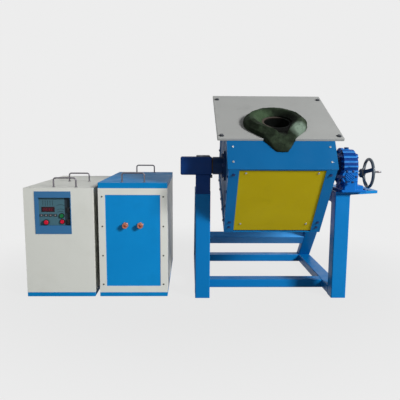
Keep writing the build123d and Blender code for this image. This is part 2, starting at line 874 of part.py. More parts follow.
def gearbox_housing():
    """Finned wheel case on a foot, with the barrel of the worm across its lower half."""
    case = cylinder_x(case_radius, -case_left, case_right)
    case += block(-case_left, case_right, case_waist - case_radius, case_radius - case_waist,
                  gearbox_foot_z, 0)
    boss = cylinder_x(boss_radius, case_right, boss_reach)
    boss += block(case_right, boss_reach, -boss_radius, boss_radius, gearbox_foot_z, 0)
    body = case + boss
    for index in range(fin_count):
        level = fin_lowest + index * fin_pitch
        narrowing = end_fin_step if index in (0, fin_count - 1) else 0
        fin = extrude(RectangleRounded(case_left + boss_reach - 2, 2 * (fin_reach - narrowing),
                                       fin_corner), fin_thickness)
        body += Pos((boss_reach - case_left) / 2, 0, level) * fin
    barrel = cylinder_y(worm_barrel_radius, -worm_barrel_reach, worm_barrel_reach)
    cover_room = cylinder_x(output_cover_radius + side_clearance, -2 * case_left, -case_left)
    body += Pos(-worm_offset, 0, -worm_drop) * barrel - cover_room
    body += Pos(-case_left / 2, 0, 0) * Cylinder(plug_boss_radius, case_radius + plug_boss,
                                                 align=(Align.CENTER, Align.CENTER, Align.MIN))
    half_foot = gearbox_foot_depth / 2
    pedestal = block(gearbox_foot_step / 2 - gearbox_foot_left, gearbox_foot_right - gearbox_foot_step,
                     -case_radius + 22, case_radius - 22,
                     gearbox_foot_z, gearbox_foot_z + gearbox_base_height)
    foot = block(-gearbox_foot_left, gearbox_foot_right, -half_foot + 30, half_foot,
                 gearbox_foot_z, gearbox_foot_z + gearbox_foot_height)
    body += pedestal + foot
    bore = cylinder_x(journal_radius + running_clearance, -case_left - 1,
                      -case_left - cover_thickness + output_bore_depth)
    nodes["gearbox_housing"] = gearbox_place * (body - bore - input_stage_space())


def gearbox_covers():
    """Round output cover towards the furnace, and round cover on the front end of the worm."""
    output = cylinder_x(output_cover_radius, -case_left - cover_thickness, -case_left)
    output -= cylinder_x(journal_radius + running_clearance, -case_left - cover_thickness, -case_left)
    front = -worm_barrel_reach
    worm = cylinder_y(worm_cover_radius, front - cover_thickness, front)
    worm += cylinder_y(worm_cover_radius - worm_cover_step, front - cover_thickness - 5,
                       front - cover_thickness)
    worm = Pos(-worm_offset, 0, -worm_drop) * worm
    nodes["gearbox_covers"] = gearbox_place * group([output, worm])


def gearbox_bolts():
    bolts = []
    outer_face = -case_left - cover_thickness
    for spot in PolarLocations(output_cover_radius - cover_bolt_inset, 6, start_angle=30):
        bolts.append(Pos(outer_face, 0, 0) * Rot(0, -90, 0) * spot * hex_head(cover_bolt_across, 6))
    cover_face = -worm_barrel_reach - cover_thickness
    cover_place = Pos(-worm_offset, cover_face, -worm_drop) * Rot(90, 0, 0)
    for spot in PolarLocations(worm_cover_radius - 6, 6):
        bolts.append(cover_place * spot * hex_head(8, 4))
    foot_top = gearbox_foot_z + gearbox_foot_height
    for y in (-gearbox_foot_depth / 2 + 48, gearbox_foot_depth / 2 - 16):
        bolts.append(Pos(gearbox_foot_right - gearbox_foot_step / 2, y, foot_top)
                     * hex_head(foot_bolt_across, 6))
    plug = Pos(-case_left / 2, 0, case_radius + plug_boss) * hex_head(plug_across, plug_height)
    bolts.append(plug)
    nodes["gearbox_bolts"] = gearbox_place * group(bolts)


def input_stage():
    """Ribbed case of the first stage, behind the wheel case and open to the right for the shaft."""
    depth_middle = input_setback + input_stage_shift
    width = input_stage_right - input_stage_left
    middle_x = (input_stage_right + input_stage_left) / 2
    height = input_stage_top - input_stage_bottom
    case = extrude(chamfer(Rectangle(width, input_stage_depth).vertices(), 14), height)
    case = chamfer(case.faces().sort_by(Axis.Z)[-1].edges(), 6)
    case = Pos(middle_x, depth_middle, input_stage_bottom) * case
    for index in range(fin_count):
        level = input_stage_bottom + 16 + index * fin_pitch
        outline = Rectangle(width + 2 * rib_stand, input_stage_depth + 2 * rib_stand)
        rib = extrude(chamfer(outline.vertices(), 15), fin_thickness)
        case += Pos(middle_x, depth_middle, level) * rib
    at_shaft = Pos(0, input_setback, -input_drop)
    boss = at_shaft * cylinder_x(input_boss_radius, input_stage_right - 10, input_boss_face)
    bore = at_shaft * cylinder_x(input_shaft_radius + running_clearance,
                                 input_boss_face - input_shaft_engagement, input_boss_face + 1)
    stage = gearbox_place * (case + boss - bore) - nodes["gearbox_housing"]
    nodes["input_stage_housing"] = stage.solids().sort_by(SortBy.VOLUME)[-1]


# Handwheel and its free-turning grip

wheel_place = gearbox_place * Pos(0, input_setback, -input_drop)


def on_wheel(radius, angle, x):
    """Point on the wheel: the angle runs from the front upwards."""
    return (x, -radius * cos(radians(angle)), radius * sin(radians(angle)))


def handwheel():
    """Dished wheel: a rim, three flat spokes that lean back to the hub, and the grip's pin."""
    hub_back = input_boss_face + hub_start
    rim = Pos(wheel_plane, 0, 0) * along_x(Torus(wheel_radius, rim_radius))
    hub = cylinder_x(hub_radius, hub_back, hub_back + hub_length)
    hub = chamfer(hub.edges().filter_by(GeomType.CIRCLE), 2)
    wheel = rim + hub
    inner = (hub_back + hub_length / 2, hub_radius - spoke_thickness)
    outer = (wheel_plane, wheel_radius - rim_radius / 2)
    spoke = make_face(Plane.XZ * Polyline(
        inner,
        (inner[0] + spoke_thickness, inner[1]),
        (outer[0] + spoke_thickness / 2, outer[1]),
        (outer[0] - spoke_thickness / 2, outer[1]),
        close=True,
    ))
    spoke = extrude(spoke, spoke_width / 2, both=True)
    for index in range(spoke_count):
        wheel += Rot(90 - spoke_angle - index * 360 / spoke_count, 0, 0) * spoke
    wheel -= cylinder_x(input_shaft_radius, hub_back - 1, hub_back + hub_length + 1)
    pin_end = wheel_plane + grip_start + grip_length + 4
    pin = Pos(*on_wheel(wheel_radius, grip_angle, 0)) * (
        cylinder_x(grip_pin_radius, wheel_plane + 2, pin_end)
        + cylinder_x(grip_radius, wheel_plane + 2, wheel_plane + grip_start - 0.5)
        + cylinder_x(grip_radius, pin_end - 3.5, pin_end)
    )
    nodes["handwheel"] = wheel_place * (wheel + pin)

    shaft_start = input_boss_face - input_shaft_engagement + journal_end_gap
    shaft = cylinder_x(input_shaft_radius, shaft_start, hub_back + hub_length + 2)
    nodes["input_shaft"] = wheel_place * shaft

    x0 = wheel_plane + grip_start
    half = grip_length / 2
    outline = make_face(
        Line((0, grip_pin_radius + running_clearance), (grip_length, grip_pin_radius + running_clearance))
        + Line((grip_length, grip_pin_radius + running_clearance), (grip_length, grip_radius - 1))
        + ThreePointArc((grip_length, grip_radius - 1), (half, grip_radius + 1), (0, grip_radius - 1))
        + Line((0, grip_radius - 1), (0, grip_pin_radius + running_clearance))
    )
    grip = revolve(outline, Axis.X)
    x, y, z = on_wheel(wheel_radius, grip_angle, x0)
    nodes["crank_grip"] = wheel_place * Pos(x, y, z) * grip


# Cabinets, each built from its left front lower corner

power_place = Pos(power_left_x, cabinet_front_y, 0)
transformer_place = Pos(transformer_left_x, cabinet_front_y, 0)


def cabinet_pair(shape):
    return group([power_place * shape, transformer_place * shape])


def plinths():
    """Folded plinth with a tray on top, open underneath."""
    plinth = block(0, cabinet_width, 0, cabinet_depth, 0, plinth_height)
    plinth -= block(plinth_wall, cabinet_width - plinth_wall, plinth_wall,
                    cabinet_depth - plinth_wall, -1, plinth_height - tray_thickness)
    nodes["cabinet_plinths"] = cabinet_pair(plinth)


def rear_panels():
    """Rear sheets with a block of cooling slots and two rows of fixing screws' holes."""
    panel = block(0, cabinet_width, cabinet_depth - cabinet_sheet, cabinet_depth,
                  plinth_height, cabinet_height)
    for index in range(slot_count):
        level = slot_bottom + index * slot_pitch
        panel -= block(slot_margin, cabinet_width - slot_margin, cabinet_depth - 2 * cabinet_sheet,
                       cabinet_depth + 1, level, level + slot_height)
    nodes["cabinet_rear_panels"] = cabinet_pair(panel)


def handles():
    """Bent rod handles on the two lids: two legs, two quarter bends and a bar."""
    half = handle_width / 2
    rod = handle_rod / 2
    straight = handle_height - handle_bend
    leg = Cylinder(rod, straight, align=(Align.CENTER, Align.CENTER, Align.MIN))
    bend = Rot(90, 0, 0) * Torus(handle_bend, rod, major_angle=90, align=None)
    side = Pos(half, 0, 0) * leg + Pos(half - handle_bend, 0, straight) * bend
    bar = Pos(0, 0, handle_height) * cylinder_x(rod, handle_bend - half, half - handle_bend)
    handle = bar + side + Rot(0, 0, 180) * side
    spots = [
        power_place * Pos(power_handle_x, power_handle_front, cabinet_height),
        power_place * Pos(power_handle_x, power_handle_rear, cabinet_height),
    ]
    lid_top = cabinet_height + lid_height
    for y in (transformer_handle_inset, cabinet_depth - transformer_handle_inset):
        spots.append(transformer_place * Pos(cabinet_width / 2, y, lid_top))
    nodes["cabinet_handles"] = group([spot * handle for spot in spots])


def power_case():
    """Sheet hood of the power cabinet, with a window for the controls."""
    case = block(0, cabinet_width, 0, cabinet_depth - cabinet_sheet, plinth_height, cabinet_height)
    case -= block(cabinet_sheet, cabinet_width - cabinet_sheet, cabinet_sheet, cabinet_depth,
                  plinth_height - 1, cabinet_height - cabinet_sheet)
    around = recess_wall + recess_clearance
    case -= block(recess_left - around, recess_right + around, -1, cabinet_sheet + 1,
                  recess_bottom - around, recess_top + around)
    nodes["power_cabinet_case"] = power_place * case


def at_fascia(x, z):
    """Place a piece that stands along Z so that it stands on the floor of the recess."""
    return power_place * Pos(x, recess_depth, z) * Rot(90, 0, 0)


def control_fascia():
    """Pressed front plate with a shallow recess, whose floor is holed for the controls."""
    plate = block(fascia_left, fascia_left + fascia_width, -fascia_thickness, 0,
                  fascia_bottom, fascia_bottom + fascia_height)
    plate += block(recess_left - recess_wall, recess_right + recess_wall, -fascia_thickness,
                   recess_depth + recess_wall, recess_bottom - recess_wall, recess_top + recess_wall)
    plate -= block(recess_left, recess_right, -2 * fascia_thickness, recess_depth,
                   recess_bottom, recess_top)
    opening = Cylinder(button_radius - 2 + button_clearance, 4 * fascia_thickness)
    stem_hole = Cylinder(emergency_stem_radius + button_clearance, 4 * fascia_thickness)
    key_hole = Box(key_width + 2 * button_clearance, key_height + 2 * button_clearance,
                   4 * fascia_thickness)
    fascia = power_place * plate
    fascia -= at_fascia(start_x, start_z) * opening
    fascia -= at_fascia(stop_x, stop_z) * opening
    fascia -= at_fascia(emergency_x, emergency_z) * stem_hole
    for index in range(key_count):
        fascia -= at_fascia(key_first_x + index * key_pitch, key_z) * key_hole
    nodes["control_fascia"] = fascia
    display = extrude(RectangleRounded(display_width, display_height, 2), 3)
    nodes["display_window"] = at_fascia(display_x, display_z) * display


def switches():
    """Bezels, two push buttons, the mushroom emergency stop and the four keys."""
    start = (Align.CENTER, Align.CENTER, Align.MIN)
    bezels = []
    for x, z in ((start_x, start_z), (stop_x, stop_z)):
        bezels.append((x, z, button_radius + button_clearance))
    bezels.append((emergency_x, emergency_z, emergency_stem_radius + button_clearance))
    rings = []
    for x, z, bore in bezels:
        ring = Cylinder(bore + bezel_wall, bezel_height, align=start)
        ring = chamfer(ring.edges().filter_by(GeomType.CIRCLE).sort_by(Axis.Z)[-1], 1)
        ring -= Cylinder(bore, 4 * bezel_height)
        rings.append(at_fascia(x, z) * ring)
    nodes["switch_bezels"] = group(rings)

    cap = Pos(0, 0, bezel_height + 1) * Cylinder(button_radius, button_stand - bezel_height - 1,
                                                 align=start)
    cap = chamfer(cap.edges().filter_by(GeomType.CIRCLE).sort_by(Axis.Z)[-1], 1.5)
    cap += Pos(0, 0, -switch_depth) * Cylinder(button_radius - 2, switch_depth + bezel_height + 2,
                                               align=start)
    nodes["start_button"] = at_fascia(start_x, start_z) * cap
    nodes["stop_button"] = at_fascia(stop_x, stop_z) * cap

    head_start = bezel_height + 6
    head = Pos(0, 0, head_start) * Cylinder(emergency_head_radius, emergency_stand, align=start)
    head = chamfer(head.edges().filter_by(GeomType.CIRCLE).sort_by(Axis.Z)[-1], 4)
    head += Pos(0, 0, -switch_depth) * Cylinder(emergency_stem_radius, switch_depth + head_start + 1,
                                                align=start)
    nodes["emergency_stop"] = at_fascia(emergency_x, emergency_z) * head

    key = Pos(0, 0, -6) * extrude(RectangleRounded(key_width, key_height, 1.5), 6 + key_stand)
    for index in range(key_count):
        place = at_fascia(key_first_x + index * key_pitch, key_z)
        nodes[f"key_{index + 1}"] = place * key


def power_module():
    """Water-cooled inverter on the tray: a cold plate, switching blocks and link capacitors."""
    middle = cabinet_width / 2
    deck = plinth_height + cold_plate_height
    half = cold_plate_width / 2
    module = block(middle - half, middle + half, cold_plate_front, cold_plate_rear, plinth_height, deck)
    can = Cylinder(link_can_radius, link_can_height, align=(Align.CENTER, Align.CENTER, Align.MIN))
    for index in range(3):
        y = cold_plate_front + inverter_pitch / 3 + index * inverter_pitch
        module += block(middle - half + 25, middle - 20, y, y + 3 * link_can_radius,
                        deck, deck + switch_block_height)
        module += Pos(middle + half / 2, y + 1.5 * link_can_radius, deck) * can
    nodes["power_module"] = power_place * module


def transformer_case():
    """Sheet hood of the transformer cabinet: open in front, with a service opening on top."""
    case = block(0, cabinet_width, cabinet_sheet, cabinet_depth - cabinet_sheet,
                 plinth_height, cabinet_height)
    case -= block(cabinet_sheet, cabinet_width - cabinet_sheet, 0, cabinet_depth,
                  plinth_height - 1, cabinet_height - cabinet_sheet)
    case -= block(service_margin_side, cabinet_width - service_margin_side,
                  service_margin_end, cabinet_depth - service_margin_end,
                  cabinet_height - 2 * cabinet_sheet, cabinet_height + 1)
    nodes["transformer_cabinet_case"] = transformer_place * case

    lid = block(0, cabinet_width, 0, cabinet_depth, cabinet_height, cabinet_height + lid_height)
    lid = fillet(lid.edges().filter_by(Axis.Z), 4)
    lid -= block(cabinet_sheet, cabinet_width - cabinet_sheet, cabinet_sheet,
                 cabinet_depth - cabinet_sheet, cabinet_height - 1,
                 cabinet_height + lid_height - cabinet_sheet)
    rim = block(0, cabinet_width, 0, cabinet_depth, cabinet_height, cabinet_height + cabinet_sheet)
    rim -= block(plinth_wall, cabinet_width - plinth_wall, plinth_wall, cabinet_depth - plinth_wall,
                 cabinet_height - 1, cabinet_height + 2 * cabinet_sheet)
    nodes["transformer_cabinet_lid"] = transformer_place * (lid + rim)


def union_spots():
    middle = cabinet_width / 2
    return [middle - union_spacing / 2, middle + union_spacing / 2]


def transformer_front():
    """Screwed front frame, the insulating board in its window, and the two output unions."""
    frame = block(0, cabinet_width, 0, cabinet_sheet, plinth_height, cabinet_height)
    window_z0 = plinth_height + window_margin_bottom
    window_z1 = cabinet_height - window_margin_top
    frame -= block(window_margin_side, cabinet_width - window_margin_side, -1, cabinet_sheet + 1,
                   window_z0, window_z1)
    nodes["front_frame"] = transformer_place * frame

    board = block(window_margin_side - window_lap, cabinet_width - window_margin_side + window_lap,
                  cabinet_sheet, cabinet_sheet + front_board_thickness,
                  window_z0 - window_lap, window_z1 + window_lap)
    for x in union_spots():
        board -= Pos(x, 0, union_height) * cylinder_y(union_radius + running_clearance, 0, 20)
    nodes["front_insulating_board"] = transformer_place * board

    screws = []
    pan = Cylinder(4, 2.5, align=(Align.CENTER, Align.CENTER, Align.MIN))
    pitch = (cabinet_height - plinth_height - 2 * screw_margin) / (screw_rows - 1)
    for x in (screw_inset, cabinet_width - screw_inset):
        for row in range(screw_rows):
            z = plinth_height + screw_margin + row * pitch
            screws.append(transformer_place * Pos(x, 0, z) * Rot(90, 0, 0) * pan)
    nodes["front_screws"] = group(screws)

    unions = []
    board_face = cabinet_sheet
    for x in union_spots():
        pipe = cylinder_y(union_radius, board_face - union_stand, transformer_front_y)
        nut = Pos(0, board_face, 0) * Rot(90, 0, 0) * hex_head(2 * union_nut, union_nut_length)
        ring = cylinder_y(union_radius + union_ring, board_face - union_stand,
                          board_face - union_stand + union_ring_length)
        bore = cylinder_y(union_bore, board_face - union_stand - 1, board_face + 60)
        unions.append(transformer_place * Pos(x, 0, union_height) * (pipe + nut + ring - bore))
    nodes["output_unions"] = group(unions)


def transformer_internals():
    """Capacitor bank on the tray, and the matching transformer hung behind the unions."""
    middle = cabinet_width / 2
    bank_top = plinth_height + capacitor_height
    pitch_x = capacitor_width + capacitor_gap
    pitch_y = capacitor_depth + capacitor_gap
    left = middle - pitch_x
    rear = capacitor_front + capacitor_rows * pitch_y - 2 * capacitor_gap
    bank = block(left, left + pitch_x + capacitor_width, capacitor_front, rear,
                 plinth_height, plinth_height + capacitor_gap)
    for row in range(capacitor_rows):
        y = capacitor_front + row * pitch_y
        for x in (left, left + pitch_x):
            bank += block(x, x + capacitor_width, y, y + capacitor_depth, plinth_height, bank_top)
    for x in (left + capacitor_width / 2, left + pitch_x + capacitor_width / 2):
        bank += block(x - capacitor_gap, x + capacitor_gap, capacitor_front + capacitor_gap,
                      rear - capacitor_gap, bank_top, bank_top + capacitor_gap)
    nodes["capacitor_bank"] = transformer_place * bank

    core_top = union_height + 90
    core = block(middle - 110, middle + 110, transformer_front_y + 40, transformer_front_y + 160,
                 plinth_height, core_top)
    core -= block(middle - 60, middle + 60, transformer_front_y, transformer_front_y + 200,
                  plinth_height + 120, core_top - 60)
    winding = block(middle - 125, middle + 125, transformer_front_y, transformer_front_y + 200,
                    union_height - 60, union_height + 20)
    winding -= block(middle - 50, middle + 50, transformer_front_y + 60, transformer_front_y + 140,
                     union_height - 70, union_height + 30)
    nodes["matching_transformer"] = transformer_place * (core + winding)


def rear_fittings():
    """Cable gland and two water tails on the rear of each cabinet."""
    panel_face = cabinet_depth
    fittings = []
    for x in (cabinet_width / 2 - 90, cabinet_width / 2 - 40):
        tail = Pos(x, panel_face, 110) * (
            Rot(-90, 0, 0) * hex_head(22, 8)
            + cylinder_y(7, 0, 34)
            - cylinder_y(4.5, 4, 40)
        )
        fittings.append(tail)
    gland = Pos(cabinet_width / 2 + 80, panel_face, 110) * (
        Rot(-90, 0, 0) * hex_head(36, 8)
        + cylinder_y(15, 8, 26)
        - cylinder_y(9, 4, 40)
    )
    fittings.append(gland)
    nodes["rear_fittings"] = cabinet_pair(group(fittings))


posts()
base()
braces()
top_beams()
gearbox_shelf()
bush_face = left_bearing()
shell_frame()
shell_panels()
top_plate()
shell_fasteners()
crucible()
refractory_lining()
pouring_collar()
induction_coil()
trunnions(bush_face, gearbox_offset - case_left - cover_thickness)
gearbox_housing()
gearbox_covers()
gearbox_bolts()
input_stage()
handwheel()
plinths()
rear_panels()
handles()
power_case()
control_fascia()
switches()
power_module()
transformer_case()
transformer_front()
transformer_internals()
rear_fittings()

os.makedirs("parts", exist_ok=True)
for name, shape in nodes.items():
    export_step(shape, f"parts/{name}.step")
print(f"{len(nodes)} pieces written")
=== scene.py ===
import json
import math

import bpy
from mathutils import Matrix, Vector


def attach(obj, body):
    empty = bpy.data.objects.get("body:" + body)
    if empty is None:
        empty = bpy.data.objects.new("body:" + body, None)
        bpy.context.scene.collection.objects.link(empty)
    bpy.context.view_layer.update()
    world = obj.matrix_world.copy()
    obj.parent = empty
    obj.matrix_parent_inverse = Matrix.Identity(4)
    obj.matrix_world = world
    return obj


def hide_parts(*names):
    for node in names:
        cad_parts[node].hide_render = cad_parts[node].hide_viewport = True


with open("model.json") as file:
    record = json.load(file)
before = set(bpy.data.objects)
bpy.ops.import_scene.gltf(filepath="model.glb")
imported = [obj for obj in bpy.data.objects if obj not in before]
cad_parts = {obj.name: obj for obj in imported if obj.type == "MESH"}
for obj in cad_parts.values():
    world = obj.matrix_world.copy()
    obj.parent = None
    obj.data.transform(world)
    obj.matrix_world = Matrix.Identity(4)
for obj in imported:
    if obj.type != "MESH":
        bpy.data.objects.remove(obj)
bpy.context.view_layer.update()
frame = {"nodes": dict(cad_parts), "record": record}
nodes = frame["nodes"]
scene = bpy.context.scene

# Camera of the photograph

camera_place = (-0.4186, -2.6758, 0.8185)
camera_yaw = -1.2
camera_pitch = 8.49
camera_roll = 0.30
camera_lens = 44.45
camera_shift = 0.0287
camera_sensor = 36
view_limit = 60


def add_camera():
    bpy.ops.object.camera_add(location=camera_place)
    camera = bpy.context.object
    camera.name = "photo_camera"
    camera.rotation_mode = "XYZ"
    camera.rotation_euler = (
        math.radians(90 - camera_pitch),
        0,
        math.radians(camera_yaw),
    )
    camera.rotation_euler.rotate_axis("Z", math.radians(camera_roll))
    camera.data.lens = camera_lens
    camera.data.sensor_width = camera_sensor
    camera.data.shift_y = camera_shift
    camera.data.clip_end = view_limit
    scene.camera = camera


# Light and floor

backdrop_colour = "EDEDED"
sky_tint = (0.94, 0.97, 1.0, 1)
world_strength = 0.17
floor_colour = "8E9090"
floor_size = 60
floor_glow = 0.90
floor_middle = (-0.35, 0.2, 0.0)
fade_start = 0.7
fade_end = 1.9
studio_middle = (-0.3, 0.0, 0.5)
lamps = (
    ("key_lamp", (4.2, -4.4, 3.4), 1.3, 540),
    ("front_lamp", (-2.0, -3.9, 1.4), 2.0, 9),
    ("top_lamp", (0.4, 0.8, 4.4), 2.4, 12),
)


def linear(code):
    """Linear colour from a six-digit sRGB code."""
    values = []
    for start in (0, 2, 4):
        share = int(code[start:start + 2], 16) / 255
        values.append(share / 12.92 if share <= 0.04045 else ((share + 0.055) / 1.055) ** 2.4)
    return (*values, 1.0)


def add_lamp(name, place, size, power):
    bpy.ops.object.light_add(type="AREA", location=place)
    lamp = bpy.context.object
    lamp.name = name
    lamp.data.shape = "SQUARE"
    lamp.data.size = size
    lamp.data.energy = power
    direction = Vector(studio_middle) - Vector(place)
    lamp.rotation_euler = direction.to_track_quat("-Z", "Y").to_euler()


def seen_rays(tree):
    """One for rays from the camera, and for those that metal and glass send on."""
    path = tree.nodes.new("ShaderNodeLightPath")
    seen = path.outputs["Is Camera Ray"]
    for ray in ("Is Glossy Ray", "Is Transmission Ray"):
        either = tree.nodes.new("ShaderNodeMath")
        either.operation = "MAXIMUM"
        tree.links.new(seen, either.inputs[0])
        tree.links.new(path.outputs[ray], either.inputs[1])
        seen = either.outputs[0]
    return seen


def light_world():
    world = bpy.data.worlds.new("studio_world")
    scene.world = world
    world.use_nodes = True
    tree = world.node_tree
    tree.nodes.clear()
    output = tree.nodes.new("ShaderNodeOutputWorld")
    mix = tree.nodes.new("ShaderNodeMixShader")
    lit = tree.nodes.new("ShaderNodeBackground")
    lit.inputs["Color"].default_value = sky_tint
    lit.inputs["Strength"].default_value = world_strength
    seen = tree.nodes.new("ShaderNodeBackground")
    seen.inputs["Color"].default_value = linear(backdrop_colour)
    seen.inputs["Strength"].default_value = 1.0
    tree.links.new(seen_rays(tree), mix.inputs["Fac"])
    tree.links.new(lit.outputs[0], mix.inputs[1])
    tree.links.new(seen.outputs[0], mix.inputs[2])
    tree.links.new(mix.outputs[0], output.inputs["Surface"])


def lay_floor():
    """Pale floor that keeps the shadow near the object and fades into the backdrop further out."""
    bpy.ops.mesh.primitive_plane_add(size=floor_size, location=(0, 0, 0))
    floor = bpy.context.object
    floor.name = "studio_floor"
    material = bpy.data.materials.new("studio_floor")
    material.use_nodes = True
    tree = material.node_tree
    shader = tree.nodes["Principled BSDF"]
    shader.inputs["Base Color"].default_value = linear(floor_colour)
    shader.inputs["Roughness"].default_value = 0.95
    shader.inputs["Specular IOR Level"].default_value = 0.1
    glow = tree.nodes.new("ShaderNodeEmission")
    glow.inputs["Color"].default_value = linear(backdrop_colour)
    place = tree.nodes.new("ShaderNodeTexCoord")
    shift = tree.nodes.new("ShaderNodeVectorMath")
    shift.operation = "SUBTRACT"
    shift.inputs[1].default_value = floor_middle
    far = tree.nodes.new("ShaderNodeVectorMath")
    far.operation = "LENGTH"
    spread = tree.nodes.new("ShaderNodeMapRange")
    spread.interpolation_type = "SMOOTHSTEP"
    spread.inputs["From Min"].default_value = fade_start
    spread.inputs["From Max"].default_value = fade_end
    spread.inputs["To Min"].default_value = floor_glow
    product = tree.nodes.new("ShaderNodeMath")
    product.operation = "MULTIPLY"
    mix = tree.nodes.new("ShaderNodeMixShader")
    tree.links.new(place.outputs["Object"], shift.inputs[0])
    tree.links.new(shift.outputs[0], far.inputs[0])
    tree.links.new(far.outputs["Value"], spread.inputs["Value"])
    tree.links.new(spread.outputs["Result"], product.inputs[0])
    tree.links.new(seen_rays(tree), product.inputs[1])
    tree.links.new(product.outputs[0], mix.inputs["Fac"])
    tree.links.new(shader.outputs[0], mix.inputs[1])
    tree.links.new(glow.outputs[0], mix.inputs[2])
    tree.links.new(mix.outputs[0], tree.nodes["Material Output"].inputs["Surface"])
    floor.data.materials.append(material)


def add_studio():
    for lamp in lamps:
        add_lamp(*lamp)
    light_world()
    lay_floor()


# Trunnion axis, the gearbox's place across, and the tilt in which the furnace stands

trunnion_axis = (0.0, -0.183, 0.680)
gearbox_x = 0.391
rest_tilt = math.radians(24.5)
plate_normal = (0, -math.sin(rest_tilt), math.cos(rest_tilt))


# Finishes

class Finish:
    """A procedural material that is built up from a few layers on one Principled shader."""

    def __init__(self, name, colour, roughness=0.4, metallic=0.0, specular=0.5, coat=0.0):
        self.material = bpy.data.materials.new(name)
        self.material.use_nodes = True
        self.tree = self.material.node_tree
        self.shader = self.tree.nodes["Principled BSDF"]
        self.shader.inputs["Metallic"].default_value = metallic
        self.shader.inputs["Specular IOR Level"].default_value = specular
        self.shader.inputs["Coat Weight"].default_value = coat
        self.shader.inputs["Coat Roughness"].default_value = 0.12
        self.shader.inputs["Roughness"].default_value = roughness
        self.shader.inputs["Base Color"].default_value = linear(colour)
        self.place = self.node("TexCoord").outputs["Object"]
        self.colour = None
        self.base = linear(colour)
        self.height = None

    def node(self, kind):
        return self.tree.nodes.new("ShaderNode" + kind)

    def link(self, source, target):
        self.tree.links.new(source, target)

    def calculated(self, operation, first, second):
        """Output of a maths node on a value and a second value or number."""
        maths = self.node("Math")
        maths.operation = operation
        self.link(first, maths.inputs[0])
        if isinstance(second, float):
            maths.inputs[1].default_value = second
        else:
            self.link(second, maths.inputs[1])
        return maths.outputs[0]

    def both(self, first, second):
        """High only where both masks are high."""
        return self.calculated("MULTIPLY", first, second)

    def measured(self, operation, fixed):
        """Distance or dot product of the shaded point and a fixed vector."""
        measure = self.node("VectorMath")
        measure.operation = operation
        self.link(self.place, measure.inputs[0])
        measure.inputs[1].default_value = fixed
        return measure.outputs["Value"]

    def distance_to(self, middle):
        return self.measured("DISTANCE", middle)

    def height_over_hearth(self):
        """Height along the furnace's own upright, which leans forward in the resting pose."""
        return self.measured("DOT_PRODUCT", plate_normal)

    def along(self, axis):
        apart = self.node("SeparateXYZ")
        self.link(self.place, apart.inputs[0])
        return apart.outputs[axis]

    def noise(self, scale, detail=4.0, rough=0.55):
        noise = self.node("TexNoise")
        noise.inputs["Scale"].default_value = scale
        noise.inputs["Detail"].default_value = detail
        noise.inputs["Roughness"].default_value = rough
        self.link(self.place, noise.inputs["Vector"])
        return noise.outputs["Fac"]

    def band(self, value, low, high, bottom=0.0, top=1.0):
        """Value between low and high spread over bottom to top, and held outside."""
        spread = self.node("MapRange")
        spread.inputs["From Min"].default_value = low
        spread.inputs["From Max"].default_value = high
        spread.inputs["To Min"].default_value = bottom
        spread.inputs["To Max"].default_value = top
        self.link(value, spread.inputs["Value"])
        return spread.outputs["Result"]

    def tint(self, mask, colour, amount=1.0):
        """Blend a colour in where the mask is high."""
        mix = self.node("Mix")
        mix.data_type = "RGBA"
        self.link(self.calculated("MULTIPLY", mask, amount), mix.inputs["Factor"])
        if self.colour is None:
            mix.inputs["A"].default_value = self.base
        else:
            self.link(self.colour, mix.inputs["A"])
        mix.inputs["B"].default_value = linear(colour)
        self.colour = mix.outputs["Result"]
        self.link(self.colour, self.shader.inputs["Base Color"])
        return self

    def gloss(self, mask, low, high):
        """Roughness from low to high over the mask."""
        self.link(self.band(mask, 0.3, 0.7, low, high), self.shader.inputs["Roughness"])
        return self

    def bump(self, value, distance, strength=0.5):
        bump = self.node("Bump")
        bump.inputs["Strength"].default_value = strength
        bump.inputs["Distance"].default_value = distance
        self.link(value, bump.inputs["Height"])
        if self.height is not None:
            self.link(self.height, bump.inputs["Normal"])
        self.height = bump.outputs["Normal"]
        self.link(self.height, self.shader.inputs["Normal"])
        return self


def sprayed_paint(name, colour, light, dark, roughness=0.38, coat=0.0, specular=0.14):
    """Sprayed enamel: slow changes of shade, fine orange peel and a few dull patches."""
    finish = Finish(name, colour, roughness, 0.0, specular, coat)
    slow = finish.noise(3.2, 3)
    finish.tint(finish.band(slow, 0.45, 0.75), light, 0.5)
    finish.tint(finish.band(finish.noise(7.5, 5), 0.55, 0.8), dark, 0.45)
    finish.gloss(finish.noise(14, 5), roughness - 0.07, roughness + 0.12)
    finish.bump(finish.noise(420, 2), 0.0004, 0.16)
    finish.bump(finish.noise(28, 3), 0.0012, 0.1)
    return finish


def rammed_mix(name, colour, light, dark):
    """Rammed refractory: grainy, with pale worn crests and dark hollows."""
    finish = Finish(name, colour, 0.6, 0.0, 0.03)
    coarse = finish.noise(16, 8, 0.65)
    finish.tint(finish.band(coarse, 0.5, 0.72), light, 0.75)
    finish.tint(finish.band(finish.noise(31, 6), 0.52, 0.7), dark, 0.7)
    finish.gloss(finish.noise(22, 5), 0.45, 0.8)
    finish.bump(coarse, 0.004, 0.5)
    finish.bump(finish.noise(95, 6, 0.7), 0.002, 0.5)
    return finish


def pressed_board(name, colour, light, dark, roughness=0.7):
    """Pressed cement or resin board: faint cloudy shade and a fine grain."""
    finish = Finish(name, colour, roughness, 0.0, 0.14)
    finish.tint(finish.band(finish.noise(4.5, 6, 0.6), 0.42, 0.7), light, 0.6)
    finish.tint(finish.band(finish.noise(12, 7, 0.65), 0.55, 0.78), dark, 0.5)
    finish.gloss(finish.noise(18, 4), roughness - 0.1, roughness + 0.12)
    finish.bump(finish.noise(260, 4, 0.7), 0.0006, 0.3)
    return finish


